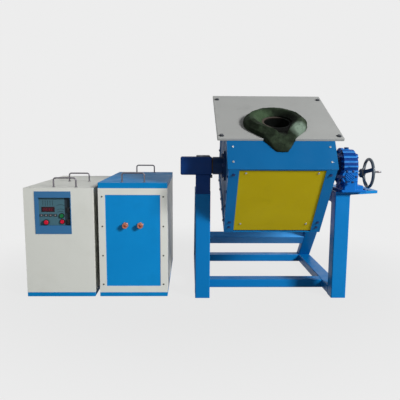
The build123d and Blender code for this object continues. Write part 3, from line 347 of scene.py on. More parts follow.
def worked_metal(name, colour, light, dark, roughness=0.32):
    """Machined or drawn metal with a cloudy shade and a fine grain."""
    finish = Finish(name, colour, roughness, 1.0, 0.5)
    finish.tint(finish.band(finish.noise(25, 5), 0.45, 0.7), light, 0.6)
    finish.tint(finish.band(finish.noise(60, 6), 0.55, 0.75), dark, 0.6)
    grain = finish.noise(180, 6, 0.6)
    finish.gloss(grain, roughness - 0.1, roughness + 0.14)
    finish.bump(grain, 0.0003, 0.25)
    return finish


def moulded_plastic(name, colour, light, roughness=0.3):
    """Moulded plastic with a soft sheen and hardly any texture."""
    finish = Finish(name, colour, roughness, 0.0, 0.2)
    finish.tint(finish.band(finish.noise(90, 3), 0.45, 0.75), light, 0.4)
    finish.gloss(finish.noise(150, 4), roughness - 0.06, roughness + 0.08)
    finish.bump(finish.noise(600, 2), 0.0002, 0.15)
    return finish


# A span or a reach of two values runs from where a mask is none to where it is full

recess_start = -0.1795
# Left edge of the painted shadow on the right of the recess floor
shadow_strip_left = -1.0555
edge_blur = 0.001


def panel_paint():
    """Blue front plate with a teal floor in its recess, and a painted shadow of the recess's right
    wall along the right of that floor.
    """
    finish = sprayed_paint("panel_paint", "396E9C", "437AA8", "2E6090", 0.45)
    deep = finish.band(finish.along("Y"), recess_start, recess_start + edge_blur)
    finish.tint(deep, "466A76")
    # Painted shadow: the right of the recess floor darkened to 26323A
    right = finish.band(finish.along("X"), shadow_strip_left, shadow_strip_left + edge_blur)
    return finish.tint(finish.both(deep, right), "26323A")


fin_pitch = 0.0235
fin_start = 0.608
fins_bottom = 0.650
fins_top = 0.764
fins_fade = 0.006
hollow_shade_span = (0.0072, 0.0102)
crest_highlight_span = (0.0062, 0.0042)


def finned_paint():
    """Gearbox enamel with painted shade in the hollows between the fins and a painted highlight on
    their edges.
    """
    finish = sprayed_paint("gearbox_blue", "0E64B4", "2480D0", "0A4A98", 0.36, 0.0, 0.08)
    height = finish.along("Z")
    over_first = finish.calculated("SUBTRACT", height, fin_start)
    over_fin = finish.calculated("FLOORED_MODULO", over_first, fin_pitch)
    zone = finish.both(finish.band(height, fins_bottom, fins_bottom + fins_fade),
                       finish.band(height, fins_top, fins_top - fins_fade))
    hollow = finish.band(over_fin, *hollow_shade_span)
    crest = finish.band(over_fin, *crest_highlight_span)
    # Painted shade darkens the hollows between the fins, and a painted highlight lightens the fin
    # edges
    finish.tint(finish.both(hollow, zone), "00266C", 0.85)
    return finish.tint(finish.both(crest, zone), "5CA6E0", 0.35)


# Middle, reach, colour and strength of each patch of painted light and shade on the collar: a
# painted highlight in pale green on the left side, painted shade at the back of the mouth and
# before it, and a painted highlight on the right side
light_and_shade_patches = (
    ((-0.075, -0.225, 0.915), 0.085, "4A6046", 0.45),
    ((0.035, -0.245, 0.900), 0.090, "040504", 0.95),
    ((0.020, -0.325, 0.866), 0.055, "040504", 0.95),
    ((0.098, -0.362, 0.866), 0.066, "8CA090", 0.52),
)
# Where painted shade darkens the notch's floor and the cavity before the mouth
notch_floor_height = 0.924
notch_middle = (0.0, -0.2781, 0.8887)
notch_reach = (0.1215, 0.1165)
notch_front = (0.030, -0.325, 0.868)
notch_front_reach = (0.084, 0.058)


def collar_mix():
    """Green-black rammed mix with painted light and shade in patches, and painted shade on the
    notch's floor.
    """
    finish = rammed_mix("green_refractory", "1E261C", "3C4A38", "0E120C")
    for middle, reach, colour, amount in light_and_shade_patches:
        near = finish.band(finish.distance_to(middle), reach, reach * 0.5)
        broken = finish.band(finish.noise(70, 7, 0.75), 0.26, 0.46)
        finish.tint(finish.both(near, broken), colour, amount)
    # Painted shade: the notch's floor darkened nearly to black
    low = finish.band(finish.height_over_hearth(), notch_floor_height + 0.012,
                      notch_floor_height + 0.007)
    inside = finish.band(finish.distance_to(notch_middle), *notch_reach)
    front = finish.band(finish.distance_to(notch_front), *notch_front_reach)
    return finish.tint(finish.both(finish.both(low, inside), front), "020302", 0.97)


rim_rise = 0.2262
rim_depth = 0.0062
rim_blur = 0.0004
unshaded_rim_middle = (-0.040, -0.245, 0.903)
unshaded_rim_reach = (0.084, 0.060)


def crucible_clay():
    """Near-black crucible mix, dark graphite deepened into painted shade for the bore, with a pale
    thin rim at the left and back, clear of that shade.
    """
    finish = rammed_mix("crucible_clay", "0D0F0E", "1A1D1B", "060706")
    height = finish.height_over_hearth()
    # The rim at the left and back is left clear of the painted shade
    bare = finish.band(finish.distance_to(unshaded_rim_middle), *unshaded_rim_reach)
    rim_height = rim_rise + sum(a * b for a, b in zip(trunnion_axis, plate_normal))
    top = finish.band(height, rim_height - rim_depth, rim_height)
    finish.tint(finish.both(top, bare), "362D29", 0.85)
    rim = finish.band(height, rim_height - rim_blur, rim_height + rim_blur)
    return finish.tint(finish.both(rim, bare), "5C564F", 0.55)


plate_bolt_height = 0.896


def bolt_enamel():
    """Bolts painted over with the frame, and bare dark steel on the plate."""
    finish = sprayed_paint("bolt_enamel", "0C2C5C", "1A4884", "061C40", 0.3, 0.0, 0.3)
    on_plate = finish.band(finish.height_over_hearth(), plate_bolt_height,
                           plate_bolt_height + 0.004)
    return finish.tint(on_plate, "30343A")


def glowing_figure():
    finish = moulded_plastic("figure_red", "9C1238", "B4204A", 0.4)
    finish.shader.inputs["Emission Color"].default_value = linear("D01C40")
    finish.shader.inputs["Emission Strength"].default_value = 0.15
    return finish


slot_finishes = {
    "blue_paint": sprayed_paint("frame_blue", "0270B2", "0A7CC0", "02609C"),
    "gearbox_paint": finned_paint(),
    "side_paint": sprayed_paint("side_blue", "2E5A88", "4A749E", "1E446C", 0.45, 0.0, 0.03),
    "dark_steel": worked_metal("dark_steel", "4A4F56", "6A7078", "2C3036", 0.45),
    "cream_paint": sprayed_paint("cream_enamel", "D8D9D2", "DEDFD9", "CDCEC5", 0.42),
    "light_blue_paint": sprayed_paint("light_blue", "087EBE", "148ACA", "0870AC", 0.45, 0.0, 0.05),
    "blue_board": sprayed_paint("front_blue", "0484C8", "0C8ED2", "0478B6", 0.4),
    "yellow_board": pressed_board("yellow_board", "C8B20E", "D2BE1A", "B6A208", 0.6),
    "cement_board": pressed_board("cement_board", "9C9D9B", "A4A5A3", "8E8F8D", 0.75),
    "rammed_refractory": collar_mix(),
    "graphite": crucible_clay(),
    "copper_tube": worked_metal("copper", "B87660", "D2967E", "8A5240", 0.32),
    # Bronze darkened far below its own colour: partly oil-darkened, mostly painted shade at the
    # bearing, which sits in shade
    "bronze": worked_metal("bronze", "30281E", "3E3428", "221C14", 0.5),
    "bright_steel": worked_metal("bright_steel", "A6AAAE", "C2C5C8", "80858A", 0.32),
    "wheel_paint": sprayed_paint("wheel_grey", "35404A", "4A5660", "242C33", 0.34, 0.1, 0.35),
    "grip_chrome": worked_metal("grip_chrome", "6A666A", "8A868A", "444044", 0.3),
    "fascia_paint": panel_paint(),
    "dark_window": moulded_plastic("dark_window", "2E0A16", "3C121E", 0.15),
    "red_plastic": moulded_plastic("red_plastic", "C60A30", "D82044"),
    "green_plastic": moulded_plastic("green_plastic", "046A38", "0E7A46"),
    "key_plastic": moulded_plastic("key_plastic", "2A2D30", "3A3E42", 0.4),
    "inner_steel": worked_metal("inner_steel", "A8ACAE", "C0C4C6", "84888A", 0.4),
    "capacitor_shell": worked_metal("capacitor_shell", "8E9496", "A6ACAE", "6C7274", 0.42),
}
finishes = {slot: finish.material for slot, finish in slot_finishes.items()}

# Finishes of single pieces that differ from their slot's
lamp_red = glowing_figure().material
key_pale = moulded_plastic("key_pale", "7C7A80", "98969C", 0.4).material
catch_black = moulded_plastic("catch_black", "1B1D20", "2C2F33", 0.35).material
# Painted shade: a darker copy of the frame blue for the front band, which faces down and away from
# the light
band_shaded_blue = sprayed_paint("band_shaded_blue", "01588D", "066298", "014C7C").material
# Painted shade: a navy copy of the frame blue for the bearing and its pedestal, where the
# furnace's shadow falls
bearing_shaded_blue = sprayed_paint("bearing_shaded_blue", "043676", "0A428A", "022A60", 0.4).material
# Painted light: a paler copy of the frame blue for the upper cross bar, which lies in the
# furnace's shadow
bar_lit_blue = sprayed_paint("bar_lit_blue", "3C92D8", "4A9EE0", "3282C4").material
bolt_paint = bolt_enamel().material
# Painted shade: the trunnions' blue darkened to navy for the shade at the bearings
trunnion_shaded_blue = sprayed_paint("trunnion_shaded_blue", "12305A", "1C4070", "0A2040", 0.4).material
rod_steel = worked_metal("rod_steel", "6C686E", "86828A", "4A464C", 0.34).material
screw_dark = worked_metal("screw_dark", "3E3F38", "55564E", "2A2B26", 0.5).material
mark_dark = moulded_plastic("mark_dark", "1C3036", "263C42", 0.5).material


# Modelling tools

def select_only(*pieces):
    bpy.ops.object.select_all(action="DESELECT")
    for piece in pieces:
        piece.select_set(True)
    bpy.context.view_layer.objects.active = pieces[0]


def shaped(piece, kind, **settings):
    """Add a modifier with these settings and apply it."""
    select_only(piece)
    modifier = piece.modifiers.new(kind.lower(), kind)
    for setting, value in settings.items():
        setattr(modifier, setting, value)
    bpy.ops.object.modifier_apply(modifier=modifier.name)
    return piece


def edit(piece, *steps):
    """Run edit-mode steps on the whole mesh of a piece."""
    select_only(piece)
    bpy.ops.object.mode_set(mode="EDIT")
    select_all()
    for step in steps:
        step()
    bpy.ops.object.mode_set(mode="OBJECT")
    return piece


def select_all():
    bpy.ops.mesh.select_all(action="SELECT")


def merge_doubles():
    bpy.ops.mesh.remove_doubles(threshold=0.00001)


def drop_thin_faces():
    bpy.ops.mesh.dissolve_degenerate(threshold=0.000002)


def face_outwards():
    bpy.ops.mesh.normals_make_consistent(inside=False)


def close_ends():
    """Cap both ends of a swept outline and turn all its faces outwards."""
    select_all()
    merge_doubles()
    bpy.ops.mesh.select_non_manifold()
    bpy.ops.mesh.fill_holes(sides=0)
    select_all()
    face_outwards()


def pick(piece, wanted, kind="faces"):
    """Leave only the faces or edges chosen by place selected, for the next edit-mode step."""
    select_only(piece)
    bpy.ops.object.mode_set(mode="EDIT")
    bpy.ops.mesh.select_mode(type="FACE" if kind == "faces" else "EDGE")
    bpy.ops.mesh.select_all(action="DESELECT")
    bpy.ops.object.mode_set(mode="OBJECT")
    mesh = piece.data
    if kind == "faces":
        for face in mesh.polygons:
            face.select = wanted(face)
    else:
        for edge in mesh.edges:
            ends = [mesh.vertices[index].co for index in edge.vertices]
            edge.select = wanted(*ends)
    bpy.ops.object.mode_set(mode="EDIT")


def done_picking():
    bpy.ops.mesh.select_mode(type="VERT")
    bpy.ops.object.mode_set(mode="OBJECT")


def joined(name, pieces):
    """Join several pieces into one object."""
    select_only(*pieces)
    if len(pieces) > 1:
        bpy.ops.object.join()
    piece = bpy.context.object
    piece.name = name
    return piece


def repeated(piece, places):
    """Copies of a piece, each with its own mesh, which is moved by its own matrix."""
    copies = []
    for place in places:
        copy = piece.copy()
        copy.data = piece.data.copy()
        scene.collection.objects.link(copy)
        copy.data.transform(place)
        copies.append(copy)
    bpy.data.objects.remove(piece)
    return copies


def copy_of(node):
    """Copy of a CAD node with its loose triangles merged."""
    copy = nodes[node].copy()
    copy.data = nodes[node].data.copy()
    scene.collection.objects.link(copy)
    copy.parent = None
    copy.matrix_world = Matrix.Identity(4)
    return edit(copy, merge_doubles)


def seat_piece(piece, name, body, slot, replaced=(), smooth=35, material=None):
    """Give a finished piece its name, shading, finish and body."""
    select_only(piece)
    bpy.ops.object.transform_apply(location=True, rotation=True, scale=True)
    edit(piece, drop_thin_faces)
    bpy.ops.object.shade_smooth_by_angle(angle=math.radians(smooth))
    piece.name = name
    piece.data.materials.clear()
    piece.data.materials.append(material or finishes[slot])
    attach(piece, body)
    if replaced:
        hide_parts(*replaced)
    return piece


def rounded_box(low, high, radius, segments=3):
    """Box between two corners with rounded edges."""
    middle = [(a + b) / 2 for a, b in zip(low, high)]
    size = [b - a for a, b in zip(low, high)]
    bpy.ops.mesh.primitive_cube_add(size=1, location=middle)
    piece = bpy.context.object
    piece.scale = size
    bpy.ops.object.transform_apply(location=True, rotation=True, scale=True)
    return edit(
        piece,
        lambda: bpy.ops.mesh.bevel(offset=radius, segments=segments, affect="EDGES"),
    )


def flat_strip(width, depth):
    """Flat outline that is swept or drawn out into a bar."""
    bpy.ops.mesh.primitive_plane_add(size=1)
    strip = bpy.context.object
    strip.scale = (width, depth, 1)
    bpy.ops.object.transform_apply(location=True, rotation=True, scale=True)
    return strip


def turned(start, end, radius, sides=32, chamfer=0.0, segments=2):
    """Round bar between two points, with its end edges bevelled."""
    start, end = Vector(start), Vector(end)
    direction = end - start
    bpy.ops.mesh.primitive_cylinder_add(vertices=sides, radius=radius, depth=direction.length)
    piece = bpy.context.object
    if chamfer:
        pick(piece, lambda a, b: abs(a.z - b.z) < 1e-6, "edges")
        bpy.ops.mesh.bevel(offset=chamfer, segments=segments, affect="EDGES")
        done_picking()
    turn = direction.to_track_quat("Z", "Y").to_matrix().to_4x4()
    piece.data.transform(Matrix.Translation((start + end) / 2) @ turn)
    return piece


def ring(place, direction, outer, inner, thickness, sides=40):
    """Flat ring with softened edges, standing on its foot along the direction."""
    bpy.ops.mesh.primitive_circle_add(vertices=sides, radius=outer, fill_type="NGON")
    piece = bpy.context.object
    edit(
        piece,
        lambda: bpy.ops.mesh.inset(thickness=outer - inner),
        lambda: bpy.ops.mesh.delete(type="FACE"),
    )
    shaped(piece, "SOLIDIFY", thickness=thickness, offset=0)
    shaped(piece, "BEVEL", width=thickness * 0.2, segments=2, limit_method="ANGLE")
    turn = Vector(direction).to_track_quat("Z", "Y").to_matrix().to_4x4()
    foot = Vector(place) + Vector(direction).normalized() * thickness / 2
    piece.data.transform(Matrix.Translation(foot) @ turn)
    return piece


# Cast and rammed surfaces

def cast(piece, grain, rounds):
    """Turn overlapping closed shapes into one casting with soft corners."""
    shaped(piece, "REMESH", mode="VOXEL", voxel_size=grain)
    return shaped(piece, "SMOOTH", factor=0.5, iterations=rounds)


def roughen(piece, name, size, depth, strength):
    """Raise and sink a surface by a cloud texture."""
    texture = bpy.data.textures.new(name, type="CLOUDS")
    texture.noise_scale = size
    texture.noise_depth = depth
    shaped(piece, "DISPLACE", texture=texture, strength=strength, mid_level=0.5,
           texture_coords="LOCAL")


# Rammed collar

def make_collar():
    collar = cast(copy_of("pouring_collar"), 0.0022, 4)
    roughen(collar, "collar_lumps", 0.028, 3, 0.0042)
    roughen(collar, "collar_grain", 0.0055, 2, 0.0018)
    seat_piece(collar, "rammed_collar", "furnace", "rammed_refractory", ["pouring_collar"], 70)


# Castings of the gearbox and the bearing

def make_castings():
    for node, name, slot, grain, paint in (
        ("gearbox_housing", "gearbox_casting", "gearbox_paint", 0.0021, None),
        ("input_stage_housing", "first_stage_casting", "gearbox_paint", 0.0018, None),
        ("bearing_housing", "bearing_casting", "blue_paint", 0.0022, bearing_shaded_blue),
    ):
        piece = cast(copy_of(node), grain, 3)
        roughen(piece, name + "_skin", 0.004, 2, 0.0005)
        seat_piece(piece, name, "frame", slot, [node], 60, paint)


worm_cover_middle = (0.360, -0.294, 0.634)
cover_reach = 0.0225
rib_pitch = 0.0082
rib_half_width = 0.0019
rib_slant = math.radians(40)


def make_cover_ribs():
    """Slanting cooling ribs on the round cover of the worm."""
    place = Matrix.Translation(worm_cover_middle) @ Matrix.Rotation(rib_slant, 4, "Y")
    ribs = []
    for step in range(-2, 3):
        across = step * rib_pitch
        half = math.sqrt(cover_reach ** 2 - across ** 2)
        rib = rounded_box((-half, -0.0028, across - rib_half_width),
                          (half, 0.0010, across + rib_half_width), 0.0009, 2)
        rib.data.transform(place)
        ribs.append(rib)
    seat_piece(joined("cover_ribs", ribs), "worm_cover_ribs", "frame", "gearbox_paint")


# Handwheel

wheel_middle = Vector((gearbox_x, -0.108, 0.640))
wheel_rim_x = 0.125
wheel_radius = 0.072
hub_back = 0.076
hub_length = 0.028
grip_rise = math.radians(9)
spoke_count = 3
first_spoke_degrees = 70

# Way out from the hub's middle, and lean towards the rim, where a spoke changes direction
spoke_stations = (
    (0.009, 0.012),
    (0.024, 0.020),
    (0.038, 0.032),
    (0.052, 0.042),
    (0.064, 0.047),
    (0.072, 0.049),
)
spoke_foot = (0.006, 0.012)


def ahead(distance):
    """Way along the wheel's axle."""
    return Vector((distance, 0, 0))


def dished_spoke():
    """Flat spoke drawn out of the hub in steps, leaning towards the rim."""
    spoke = flat_strip(0.007, 0.024)
    foot_out, foot_lean = spoke_foot
    spoke.data.transform(Matrix.Translation((hub_back + foot_lean, 0, foot_out)))

    def draw_out():
        reached = Vector((0, 0, 0))
        for index, (out, lean) in enumerate(spoke_stations):
            target = Vector((lean - foot_lean, 0, out - foot_out))
            step = {"value": target - reached}
            bpy.ops.mesh.extrude_region_move(TRANSFORM_OT_translate=step)
            taper = 0.94 if index < 3 else 1.02
            bpy.ops.transform.resize(value=(1, taper, 1))
            reached = target

    return edit(spoke, draw_out, select_all, face_outwards)


def make_handwheel():
    bpy.ops.mesh.primitive_torus_add(
        major_radius=wheel_radius,
        minor_radius=0.008,
        major_segments=96,
        minor_segments=20,
        location=(wheel_rim_x, 0, 0),
        rotation=(0, math.radians(90), 0),
    )
    rim = bpy.context.object
    bpy.ops.object.transform_apply(location=True, rotation=True, scale=True)
    hub = turned(ahead(hub_back), ahead(hub_back + hub_length), 0.018, 40, 0.002)
    step = turned(ahead(hub_back + 0.004), ahead(hub_back + 0.020), 0.023, 40, 0.003)
    to_grip = (0, -math.cos(grip_rise), math.sin(grip_rise))
    grip_place = Vector([wheel_radius * share for share in to_grip])
    boss = turned(
        grip_place + ahead(wheel_rim_x - 0.007),
        grip_place + ahead(wheel_rim_x + 0.0095),
        0.0075, 24, 0.0012,
    )
    angles = [math.radians(first_spoke_degrees - index * 360 / spoke_count)
              for index in range(spoke_count)]
    spokes = repeated(dished_spoke(), [Matrix.Rotation(angle, 4, "X") for angle in angles])
    wheel = joined("wheel", [rim, hub, step, boss, *spokes])
    cast(wheel, 0.0014, 4)
    wheel.data.transform(Matrix.Translation(wheel_middle))
    seat_piece(wheel, "handwheel_casting", "wheel", "wheel_paint", ["handwheel"], 60)

    foot = wheel_middle + grip_place + ahead(wheel_rim_x + 0.005)
    pin = turned(foot, foot + ahead(0.035), 0.002, 20)
    collar = turned(foot + ahead(0.002), foot + ahead(0.0045), 0.0045, 24, 0.0005)
    head = turned(foot + ahead(0.0316), foot + ahead(0.035), 0.0045, 24, 0.0008)
    seat_piece(joined("pin", [pin, collar, head]), "grip_pin", "wheel", "bright_steel")

    nut_place = Matrix.Translation(wheel_middle + ahead(hub_back + hub_length - 0.001))
    nut_turn = Matrix.Rotation(math.radians(90), 4, "Y")
    nut = repeated(hex_head(0.016, 0.006), [nut_place @ nut_turn])[0]
    seat_piece(nut, "hub_nut", "wheel", "dark_steel")


# Fasteners, each seated where the CAD head is

flats_over_corners = math.cos(math.radians(30))
unchamfered = 0.86

# The heads point away from the middle of what they hold
furnace_middle = Vector((0.0, -0.15, 0.70))
transformer_middle = Vector((-0.708, 0.2, 0.3))
gearbox_middle = Vector((gearbox_x, *trunnion_axis[1:]))

washer_overhang = 1.25
tallest_on_washer = 0.0075
turn_between_heads = 0.7


def hex_head(width, height, washer=0.0):
    """Hexagon head with a chamfered top, on a washer if a radius is given."""
    bpy.ops.mesh.primitive_cylinder_add(
        vertices=6,
        radius=width / 2 / flats_over_corners,
        depth=height * unchamfered,
        location=(0, 0, height * unchamfered / 2),
    )
    head = bpy.context.object
    bpy.ops.object.transform_apply(location=True, rotation=True, scale=True)
    pick(head, lambda face: face.normal.z > 0.9)
    chamfer = {"value": (0, 0, height * (1 - unchamfered))}
    bpy.ops.mesh.extrude_region_move(TRANSFORM_OT_translate=chamfer)
    bpy.ops.transform.resize(value=(0.84, 0.84, 1))
    done_picking()
    if washer:
        plate = turned((0, 0, 0), (0, 0, height * 0.28), washer, 28, height * 0.06)
        head = joined("head", [head, plate])
    return head


def pan_head(radius, height):
    """Domed screw head with a driver's slot."""
    head = turned((0, 0, 0), (0, 0, height), radius, 32, height * 0.45, 4)
    slot = rounded_box((-radius * 1.2, -radius * 0.13, height * 0.55),
                       (radius * 1.2, radius * 0.13, height * 1.5), radius * 0.02, 1)
    shaped(head, "BOOLEAN", operation="DIFFERENCE", object=slot, solver="EXACT")
    bpy.data.objects.remove(slot)
    return head


def seats(node, middle):
    """Foot, direction, height and reach of every separate head in a CAD node."""
    edit(copy_of(node), lambda: bpy.ops.mesh.separate(type="LOOSE"))
    found = []
    for part in list(bpy.context.selected_objects):
        areas = {}
        for face in part.data.polygons:
            key = tuple(round(value, 2) for value in face.normal)
            areas[key] = areas.get(key, 0) + face.area
        direction = Vector(max(sorted(areas), key=lambda key: areas[key])).normalized()
        corners = [vertex.co.copy() for vertex in part.data.vertices]
        lows = [min(corner[axis] for corner in corners) for axis in range(3)]
        highs = [max(corner[axis] for corner in corners) for axis in range(3)]
        centre = Vector([(low + high) / 2 for low, high in zip(lows, highs)])
        if direction.dot(centre - middle) < 0:
            direction.negate()
        along = [direction.dot(corner - centre) for corner in corners]
        reach = max(((corner - centre) - direction * step).length
                    for corner, step in zip(corners, along))
        found.append((centre + direction * min(along), direction, max(along) - min(along), reach))
        bpy.data.objects.remove(part)
    return sorted(found, key=lambda seat: tuple(round(value, 4) for value in seat[0]))


def on_seat(seat, spin=0.0):
    foot, direction = seat[:2]
    turn = direction.to_track_quat("Z", "Y").to_matrix().to_4x4()
    return Matrix.Translation(foot) @ turn @ Matrix.Rotation(spin, 4, "Z")


def make_fasteners():
    for node, body, middle, kind, slot, paint in (
        ("shell_bolts", "furnace", furnace_middle, "hex", "dark_steel", bolt_paint),
        ("panel_screws", "furnace", furnace_middle, "pan", "bright_steel", None),
        ("front_screws", "frame", transformer_middle, "pan", "bright_steel", screw_dark),
        ("gearbox_bolts", "frame", gearbox_middle, "hex", "dark_steel", bolt_paint),
    ):
        sizes = {}
        for seat in seats(node, middle):
            size = tuple(round(value, 4) for value in seat[2:])
            sizes.setdefault(size, []).append(seat)
        heads = []
        for size in sorted(sizes):
            height, reach = size
            if kind == "pan":
                head = pan_head(reach, height)
            else:
                washer = reach * washer_overhang if height < tallest_on_washer else 0
                head = hex_head(reach * 2 * flats_over_corners, height, washer)
            places = [on_seat(seat, index * turn_between_heads)
                      for index, seat in enumerate(sizes[size])]
            heads += repeated(head, places)
        name = node.replace("_", "-") + "-heads"
        seat_piece(joined(node, heads), name, body, slot, [node], 35, paint)


# Lid handles, with the middle of each one's feet on its lid

handle_feet = (
    (-1.059, -0.1405, 0.565),
    (-1.059, 0.1995, 0.565),
    (-0.708, -0.1485, 0.592),
    (-0.708, 0.5675, 0.592),
)


def rod_handle():
    """Round rod pushed up, bent over, carried across, bent down and brought to the lid."""
    half, height, bend = 0.057, 0.047, 0.012
    bpy.ops.mesh.primitive_circle_add(vertices=24, radius=0.004, location=(-half, 0, 0))
    rod = bpy.context.object
    bpy.ops.object.transform_apply(location=True, rotation=True, scale=True)

    def push(x, z):
        bpy.ops.mesh.extrude_region_move(TRANSFORM_OT_translate={"value": (x, 0, z)})

    def curl(x):
        bpy.ops.mesh.spin(
            steps=10,
            angle=math.radians(90),
            center=(x, 0, height - bend),
            axis=(0, -1, 0),
        )

    edit(
        rod,
        lambda: push(0, height - bend),
        lambda: curl(bend - half),
        lambda: push(2 * (half - bend), 0),
        lambda: curl(half - bend),
        lambda: push(0, bend - height),
        close_ends,
    )
    collars = [ring((side * half, 0, 0.0002), (0, 0, 1), 0.0085, 0.0041, 0.0022, 28)
               for side in (-1, 1)]
    return joined("rod", [rod, *collars])


def make_handles():
    handles = repeated(rod_handle(), [Matrix.Translation(foot) for foot in handle_feet])
    seat_piece(joined("handles", handles), "lid_handles", "frame", "bright_steel",
               ["cabinet_handles"], 40, rod_steel)


# Sheet metal with softened edges

def make_sheet_metal():
    for node, name, body, slot, radius in (
        ("power_cabinet_case", "power_hood", "frame", "cream_paint", 0.0016),
        ("front_frame", "front_sheet", "frame", "cream_paint", 0.0006),
        ("cabinet_plinths", "plinths", "frame", "light_blue_paint", 0.002),
        ("top_plate", "cement_slab", "furnace", "cement_board", 0.0014),
        ("gearbox_shelf", "gearbox_table", "frame", "blue_paint", 0.0015),
        ("front_insulating_board", "front_board_sheet", "frame", "blue_board", 0.0008),
        ("control_fascia", "control_plate", "frame", "fascia_paint", 0.0006),
    ):
        piece = copy_of(node)
        edit(piece, lambda: bpy.ops.mesh.dissolve_limited(angle_limit=math.radians(2)))
        shaped(piece, "BEVEL", width=radius, segments=2, limit_method="ANGLE",
               angle_limit=math.radians(40))
        seat_piece(piece, name, body, slot, [node], 40)
        shaped(piece, "WEIGHTED_NORMAL", keep_sharp=True, weight=100)


# Controls of the power cabinet, placed on the floor of its recess

panel_left = -1.257
recess_floor = -0.1765

# Places on the panel in mm, across from its left side and up from the floor. Heights over the
# recess floor are in m
start_place = (187, 422)
stop_place = (189, 392)
emergency_place = (110, 390)
first_key = 84
key_pitch = 23.3
display_groups = ((91.5, "1250"), (122.5, "850"))
figure_pitch = 6.6
figure_foot = 448.5
figure_width = 4.9
figure_height = 12.5
figure_back = 0.0021
figure_face = 0.0024
strip_places = (92, 104, 116, 128, 140)
arc_middle = 182
arc_crests = ((479, 0.042), (457, 0.036), (444, 0.034))
arc_sweep = math.radians(56)
arc_start = math.radians(62)


def on_panel(x, z, stand=0.0):
    return Vector((panel_left + x / 1000, recess_floor - stand, z / 1000))


def panel_block(x0, x1, z0, z1, foot, top, radius, segments=2):
    """Rounded block on the recess floor, by its cabinet places in mm and its two heights in m."""
    low = (panel_left + x0 / 1000, recess_floor - top, z0 / 1000)
    high = (panel_left + x1 / 1000, recess_floor - foot, z1 / 1000)
    return rounded_box(low, high, radius, segments)


def panel_round(place, foot, top, *shape):
    """Round block at a control's place, between two heights over the recess floor in m."""
    return turned(on_panel(*place, foot), on_panel(*place, top), *shape)


# Bars that each figure of the display lights
digit_bars = {
    "0": "abcdef",
    "1": "bc",
    "2": "abged",
    "5": "afgcd",
    "8": "abcdefg",
}


def digit(symbol, x):
    """Figure of a seven-bar display, with its left edge at x."""
    width, height = figure_width, figure_height
    thick = width * 0.17
    half = height / 2
    lines = {
        "a": (0, width, height - thick, height),
        "b": (width - thick, width, half, height),
        "c": (width - thick, width, 0, half),
        "d": (0, width, 0, thick),
        "e": (0, thick, 0, half),
        "f": (0, thick, half, height),
        "g": (0, width, half - thick / 2, half + thick / 2),
    }
    gap = thick * 0.25
    bars = []
    for line in digit_bars[symbol]:
        x0, x1, z0, z1 = lines[line]
        bars.append(panel_block(
            x + x0 + gap, x + x1 - gap, figure_foot + z0 + gap, figure_foot + z1 - gap,
            figure_back, figure_face, 0.00008, 1,
        ))
    return bars


def make_display():
    frame_piece = panel_block(86, 152, 442, 468, 0, 0.003, 0.0014, 3)
    pick(frame_piece, lambda face: face.normal.y < -0.95 and face.area > 0.0004)
    bpy.ops.mesh.inset(thickness=0.0022)
    bpy.ops.mesh.extrude_region_move(TRANSFORM_OT_translate={"value": (0, 0.0009, 0)})
    done_picking()
    seat_piece(frame_piece, "display_block", "frame", "dark_window", ["display_window"])
    bars = []
    for group_left, figures in display_groups:
        for index, symbol in enumerate(figures):
            bars += digit(symbol, group_left + index * figure_pitch)
    seat_piece(joined("figures", bars), "display_figures", "frame", "dark_window", (), 35,
               lamp_red)


def make_panel_marks():
    """Dark strips over the display and three shallow arcs over the push buttons."""
    marks = [panel_block(x, x + 2.4, 474, 500, 0, 0.0004, 0.00015, 1) for x in strip_places]
    for crest, reach in arc_crests:
        middle = on_panel(arc_middle, crest, 0.0002) - Vector((0, 0, reach))
        arc = flat_strip(0.0018, 0.0004)
        arc.data.transform(
            Matrix.Translation(middle)
            @ Matrix.Rotation(-arc_start, 4, "Y")
            @ Matrix.Translation((reach, 0, 0))
        )
        sweep = {"steps": 16, "angle": -arc_sweep, "center": middle, "axis": (0, -1, 0)}
        edit(arc, lambda: bpy.ops.mesh.spin(**sweep), close_ends)
        marks.append(arc)
    seat_piece(joined("marks", marks), "panel_marks", "frame", "dark_window", (), 35, mark_dark)


def make_keys():
    for index in range(4):
        middle = first_key + index * key_pitch
        cap = panel_block(middle - 9, middle + 9, 418, 430, -0.006, 0.0025, 0.0011, 3)
        seat_piece(cap, f"key_cap_{index + 1}", f"key_switch_{index + 1}", "key_plastic",
                   [f"key_{index + 1}"])
        face = panel_block(middle - 4, middle + 4, 421, 427.5, 0.0023, 0.0031, 0.0003, 2)
        seat_piece(face, f"key_window_{index + 1}", f"key_switch_{index + 1}", "key_plastic",
                   (), 35, key_pale)


def make_buttons():
    for node, name, body, slot, place in (
        ("start_button", "start_cap", "start_switch", "green_plastic", start_place),
        ("stop_button", "stop_cap", "stop_switch", "red_plastic", stop_place),
    ):
        cap = panel_round(place, 0.004, 0.0095, 0.010, 40, 0.0016, 4)
        pick(cap, lambda face: face.normal.y < -0.95)
        bpy.ops.mesh.inset(thickness=0.0018)
        bpy.ops.mesh.extrude_region_move(TRANSFORM_OT_translate={"value": (0, 0.0007, 0)})
        bpy.ops.transform.resize(value=(0.9, 1, 0.9))
        done_picking()
        stem = panel_round(place, -0.030, 0.005, 0.008, 32, 0.0008)
        seat_piece(joined(name, [cap, stem]), name, body, slot, [node])


def make_emergency_stop():
    """Red head in a dark guard."""
    guard = panel_round(emergency_place, 0.009, 0.015, 0.015, 48, 0.0022, 4)
    neck = panel_round(emergency_place, -0.030, 0.010, 0.009, 32, 0.0006)
    seat_piece(joined("guard", [guard, neck]), "emergency_guard", "emergency_switch",
               "red_plastic", ["emergency_stop"], 50, catch_black)
    cap = panel_round(emergency_place, 0.013, 0.019, 0.0115, 48, 0.0034, 6)
    seat_piece(cap, "emergency_head", "emergency_switch", "red_plastic", (), 50)


